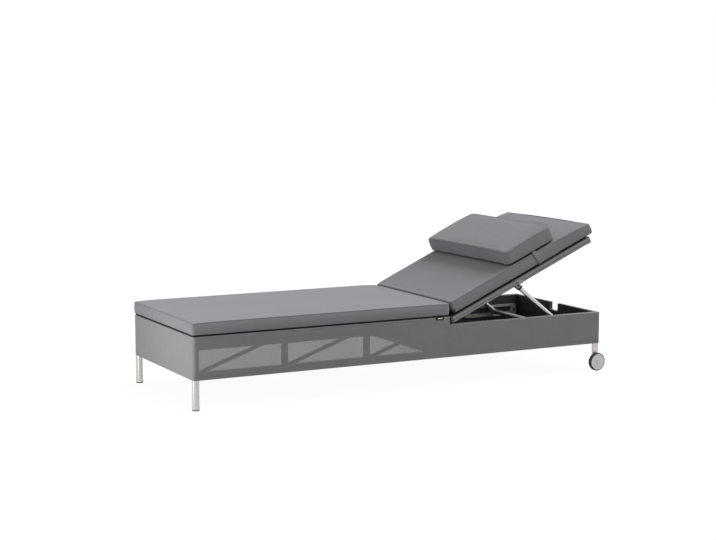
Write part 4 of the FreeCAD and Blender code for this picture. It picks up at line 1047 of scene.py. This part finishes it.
def make_wheel(hand, sign):
    low, high = node_box(f"tyre_{hand}")
    middle = (low + high) / 2
    radius, half = (high[2] - low[2]) / 2, (high[1] - low[1]) / 2
    hub_low, hub_high = node_box(f"hub_{hand}")
    rim = (hub_high[2] - hub_low[2]) / 2
    shoulder = np.radians(np.linspace(0, 90, 7))
    bend = 4.5 * MM
    radii = np.concatenate([[rim + 0.2 * MM, rim + 0.6 * MM, radius - bend],
                            radius - bend + bend * np.sin(shoulder)])
    offsets = np.concatenate([[-half + 1.6 * MM, -half + 0.4 * MM, -half + 0.1 * MM],
                              -half + bend * (1 - np.cos(shoulder))])
    tread = np.linspace(-half + bend, half - bend, 13)[1:-1]
    grooves = radius - 0.45 * MM * (np.arange(len(tread)) % 4 == 1)
    radii = np.concatenate([radii, grooves, radii[::-1], [rim - 0.4 * MM, rim - 0.4 * MM]])
    offsets = np.concatenate([offsets, tread, -offsets[::-1], [half - 2.5 * MM, -half + 2.5 * MM]])
    sheet = grid_sheet(lathe(radii, offsets, middle, 120), wrap_rows=True, wrap_columns=True)
    tyre = build_piece(f"tyre_{hand}_rubber", [sheet], f"wheel_{hand}", [RUBBER], outward=True)
    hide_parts(f"tyre_{hand}")
    rim = rim / MM
    radii = np.array([rim - 0.4, rim + 1.3, rim + 1.7, rim + 1.0, rim - 1.4, rim - 2.2, rim - 3.2, 24.0, 23.2,
                      22.2, 14.4, 13.4, 12.6, 11.8, 8.4, 8.0, 8.0]) * MM
    rises = np.array([0.6, 1.6, 2.0, 2.3, 2.3, 1.7, 1.5, 1.9, 2.2, 2.0, 2.2, 2.4, 2.9, 3.0, 3.0, 2.6, 0.4]) * MM
    sheet = grid_sheet(lathe(radii, sign * (half - 1.5 * MM + rises), middle, 96), wrap_columns=True)
    cap = build_piece(f"hub_{hand}_face", [sheet], f"wheel_{hand}", [HUB], outward=True)
    if np.mean([polygon.normal.y for polygon in cap.data.polygons]) * sign < 0:
        cap.data.flip_normals()


for hand, sign in HANDS:
    make_wheel(hand, sign)

# %% [markdown]
# ## Small fittings
# Under the rim of each side a strap keeper holds the seat cushion: a slim bright bar in a black loop of
# webbing. It is small, so two soft-edged boxes stand for it.


# %% Strap keepers
def rounded_box(name, low, high, radius, material):
    """A box with rounded edges: a cube's six faces as grids, each point pushed out to a round edge."""
    low, high = np.asarray(low), np.asarray(high)
    middle, half = (low + high) / 2, (high - low) / 2
    a, b = np.meshgrid(np.linspace(-1, 1, 9), np.linspace(-1, 1, 9), indexing="ij")
    sheets = []
    for axis in range(3):
        for sign in (-1, 1):
            cube = np.zeros((9, 9, 3))
            cube[..., axis] = sign
            cube[..., (axis + 1) % 3], cube[..., (axis + 2) % 3] = a, b
            inner = np.maximum(half - radius, 0) * np.clip(cube * 1.15, -1, 1)
            way = cube ** 5
            way /= np.linalg.norm(way, axis=-1, keepdims=True)
            sheets.append(grid_sheet(middle + inner + radius * way, flip=sign < 0))
    return build_piece(name, sheets, "base", [material], merge=1e-6, outward=True)


def make_keeper(label, hand, sign, spans, material):
    """One box of a keeper; spans are its half length, its bottom and top from the seat's rim and its
    inner and outer face from the skirt, in mm."""
    half_long, bottom, top, inner, outer = (span * MM for span in spans)
    low, high = node_box("strap_keepers")
    middle = (low[0] + high[0]) / 2
    y = sorted((sign * (OUTSIDE + inner), sign * (OUTSIDE + outer)))
    return rounded_box(f"{label}_{hand}", (middle - half_long, y[0], SEAT_RIM + bottom),
                       (middle + half_long, y[1], SEAT_RIM + top), 0.55 * MM, material)


for hand, sign in HANDS:
    make_keeper("strap_loop", hand, sign, (19, -10, 3, 0.1, 1.5), PLASTIC)
    bar = make_keeper("strap_bar", hand, sign, (12, -5.5, -2, 1.4, 2.6), STEEL)
    if hand == "left":
        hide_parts("strap_keepers")

# %% [markdown]
# ## Stage and light
# The photograph is a plain studio shot: soft light from all round, a little more from the foot end, and
# a white ground. For the camera the floor and the world are white, but they light the object less.

# %% Floor, world and lamps
FLOOR_FAR, FLOOR_GREY, FLOOR_SEEN_GREY, FLOOR_GLOW, AMBIENT = 40.0, 0.36, 0.08, 0.955, 0.35


def seen_directly(tree):
    """1 for what the camera sees, itself or in a mirror or through clear matter, and 0 for soft light."""
    rays = tree.nodes.new("ShaderNodeLightPath").outputs
    mirrored = calculate("MAXIMUM", rays["Is Glossy Ray"], rays["Is Transmission Ray"])
    return calculate("MAXIMUM", rays["Is Camera Ray"], mirrored)


def make_floor():
    mesh = bpy.data.meshes.new("floor")
    far = FLOOR_FAR
    mesh.from_pydata([(-far, -far, 0), (far, -far, 0), (far, far, 0), (-far, far, 0)], [], [(0, 1, 2, 3)])
    floor = bpy.data.objects.new("floor", mesh)
    scene.collection.objects.link(floor)
    material, shader, _ = new_material("floor", Roughness=1.0, Specular_IOR_Level=0.0,
                                       Emission_Color=(1, 1, 1, 1))
    seen = seen_directly(shader.id_data)
    ground = mixed(shader.id_data, (FLOOR_GREY,) * 3, (FLOOR_SEEN_GREY,) * 3, seen)
    fill_in(shader, Base_Color=ground, Emission_Strength=times(seen, FLOOR_GLOW))
    mesh.materials.append(material)


def make_world():
    world = bpy.data.worlds.new("studio")
    scene.world = world
    world.use_nodes = True
    strength = calculate("MULTIPLY_ADD", seen_directly(world.node_tree), 1.0 - AMBIENT, AMBIENT)
    fill_in(world.node_tree.nodes["Background"], Color=(1, 1, 1, 1), Strength=strength)


def make_lamp(name, kind, place, target, size, energy):
    """A lamp that looks from its place at its target; size is in metres, or degrees for a sun."""
    data = bpy.data.lights.new(name, kind)
    data.energy = energy
    if kind == "SUN":
        data.angle = math.radians(size)
    else:
        data.shape, data.size = "DISK", size
    lamp = bpy.data.objects.new(name, data)
    lamp.location = place
    lamp.rotation_euler = (Vector(target) - Vector(place)).to_track_quat("-Z", "Y").to_euler()
    lamp.visible_camera = False
    scene.collection.objects.link(lamp)


make_floor()
make_world()
make_lamp("key_sun", "SUN", (2.45, -0.35, 3.1), (0, 0, 0), 50, 1.95)
make_lamp("foot_lamp", "AREA", (-1.9, -0.25, 0.27), (-1.0, 0, 0.22), 0.8, 6.5)
scene.view_settings.view_transform = "Standard"
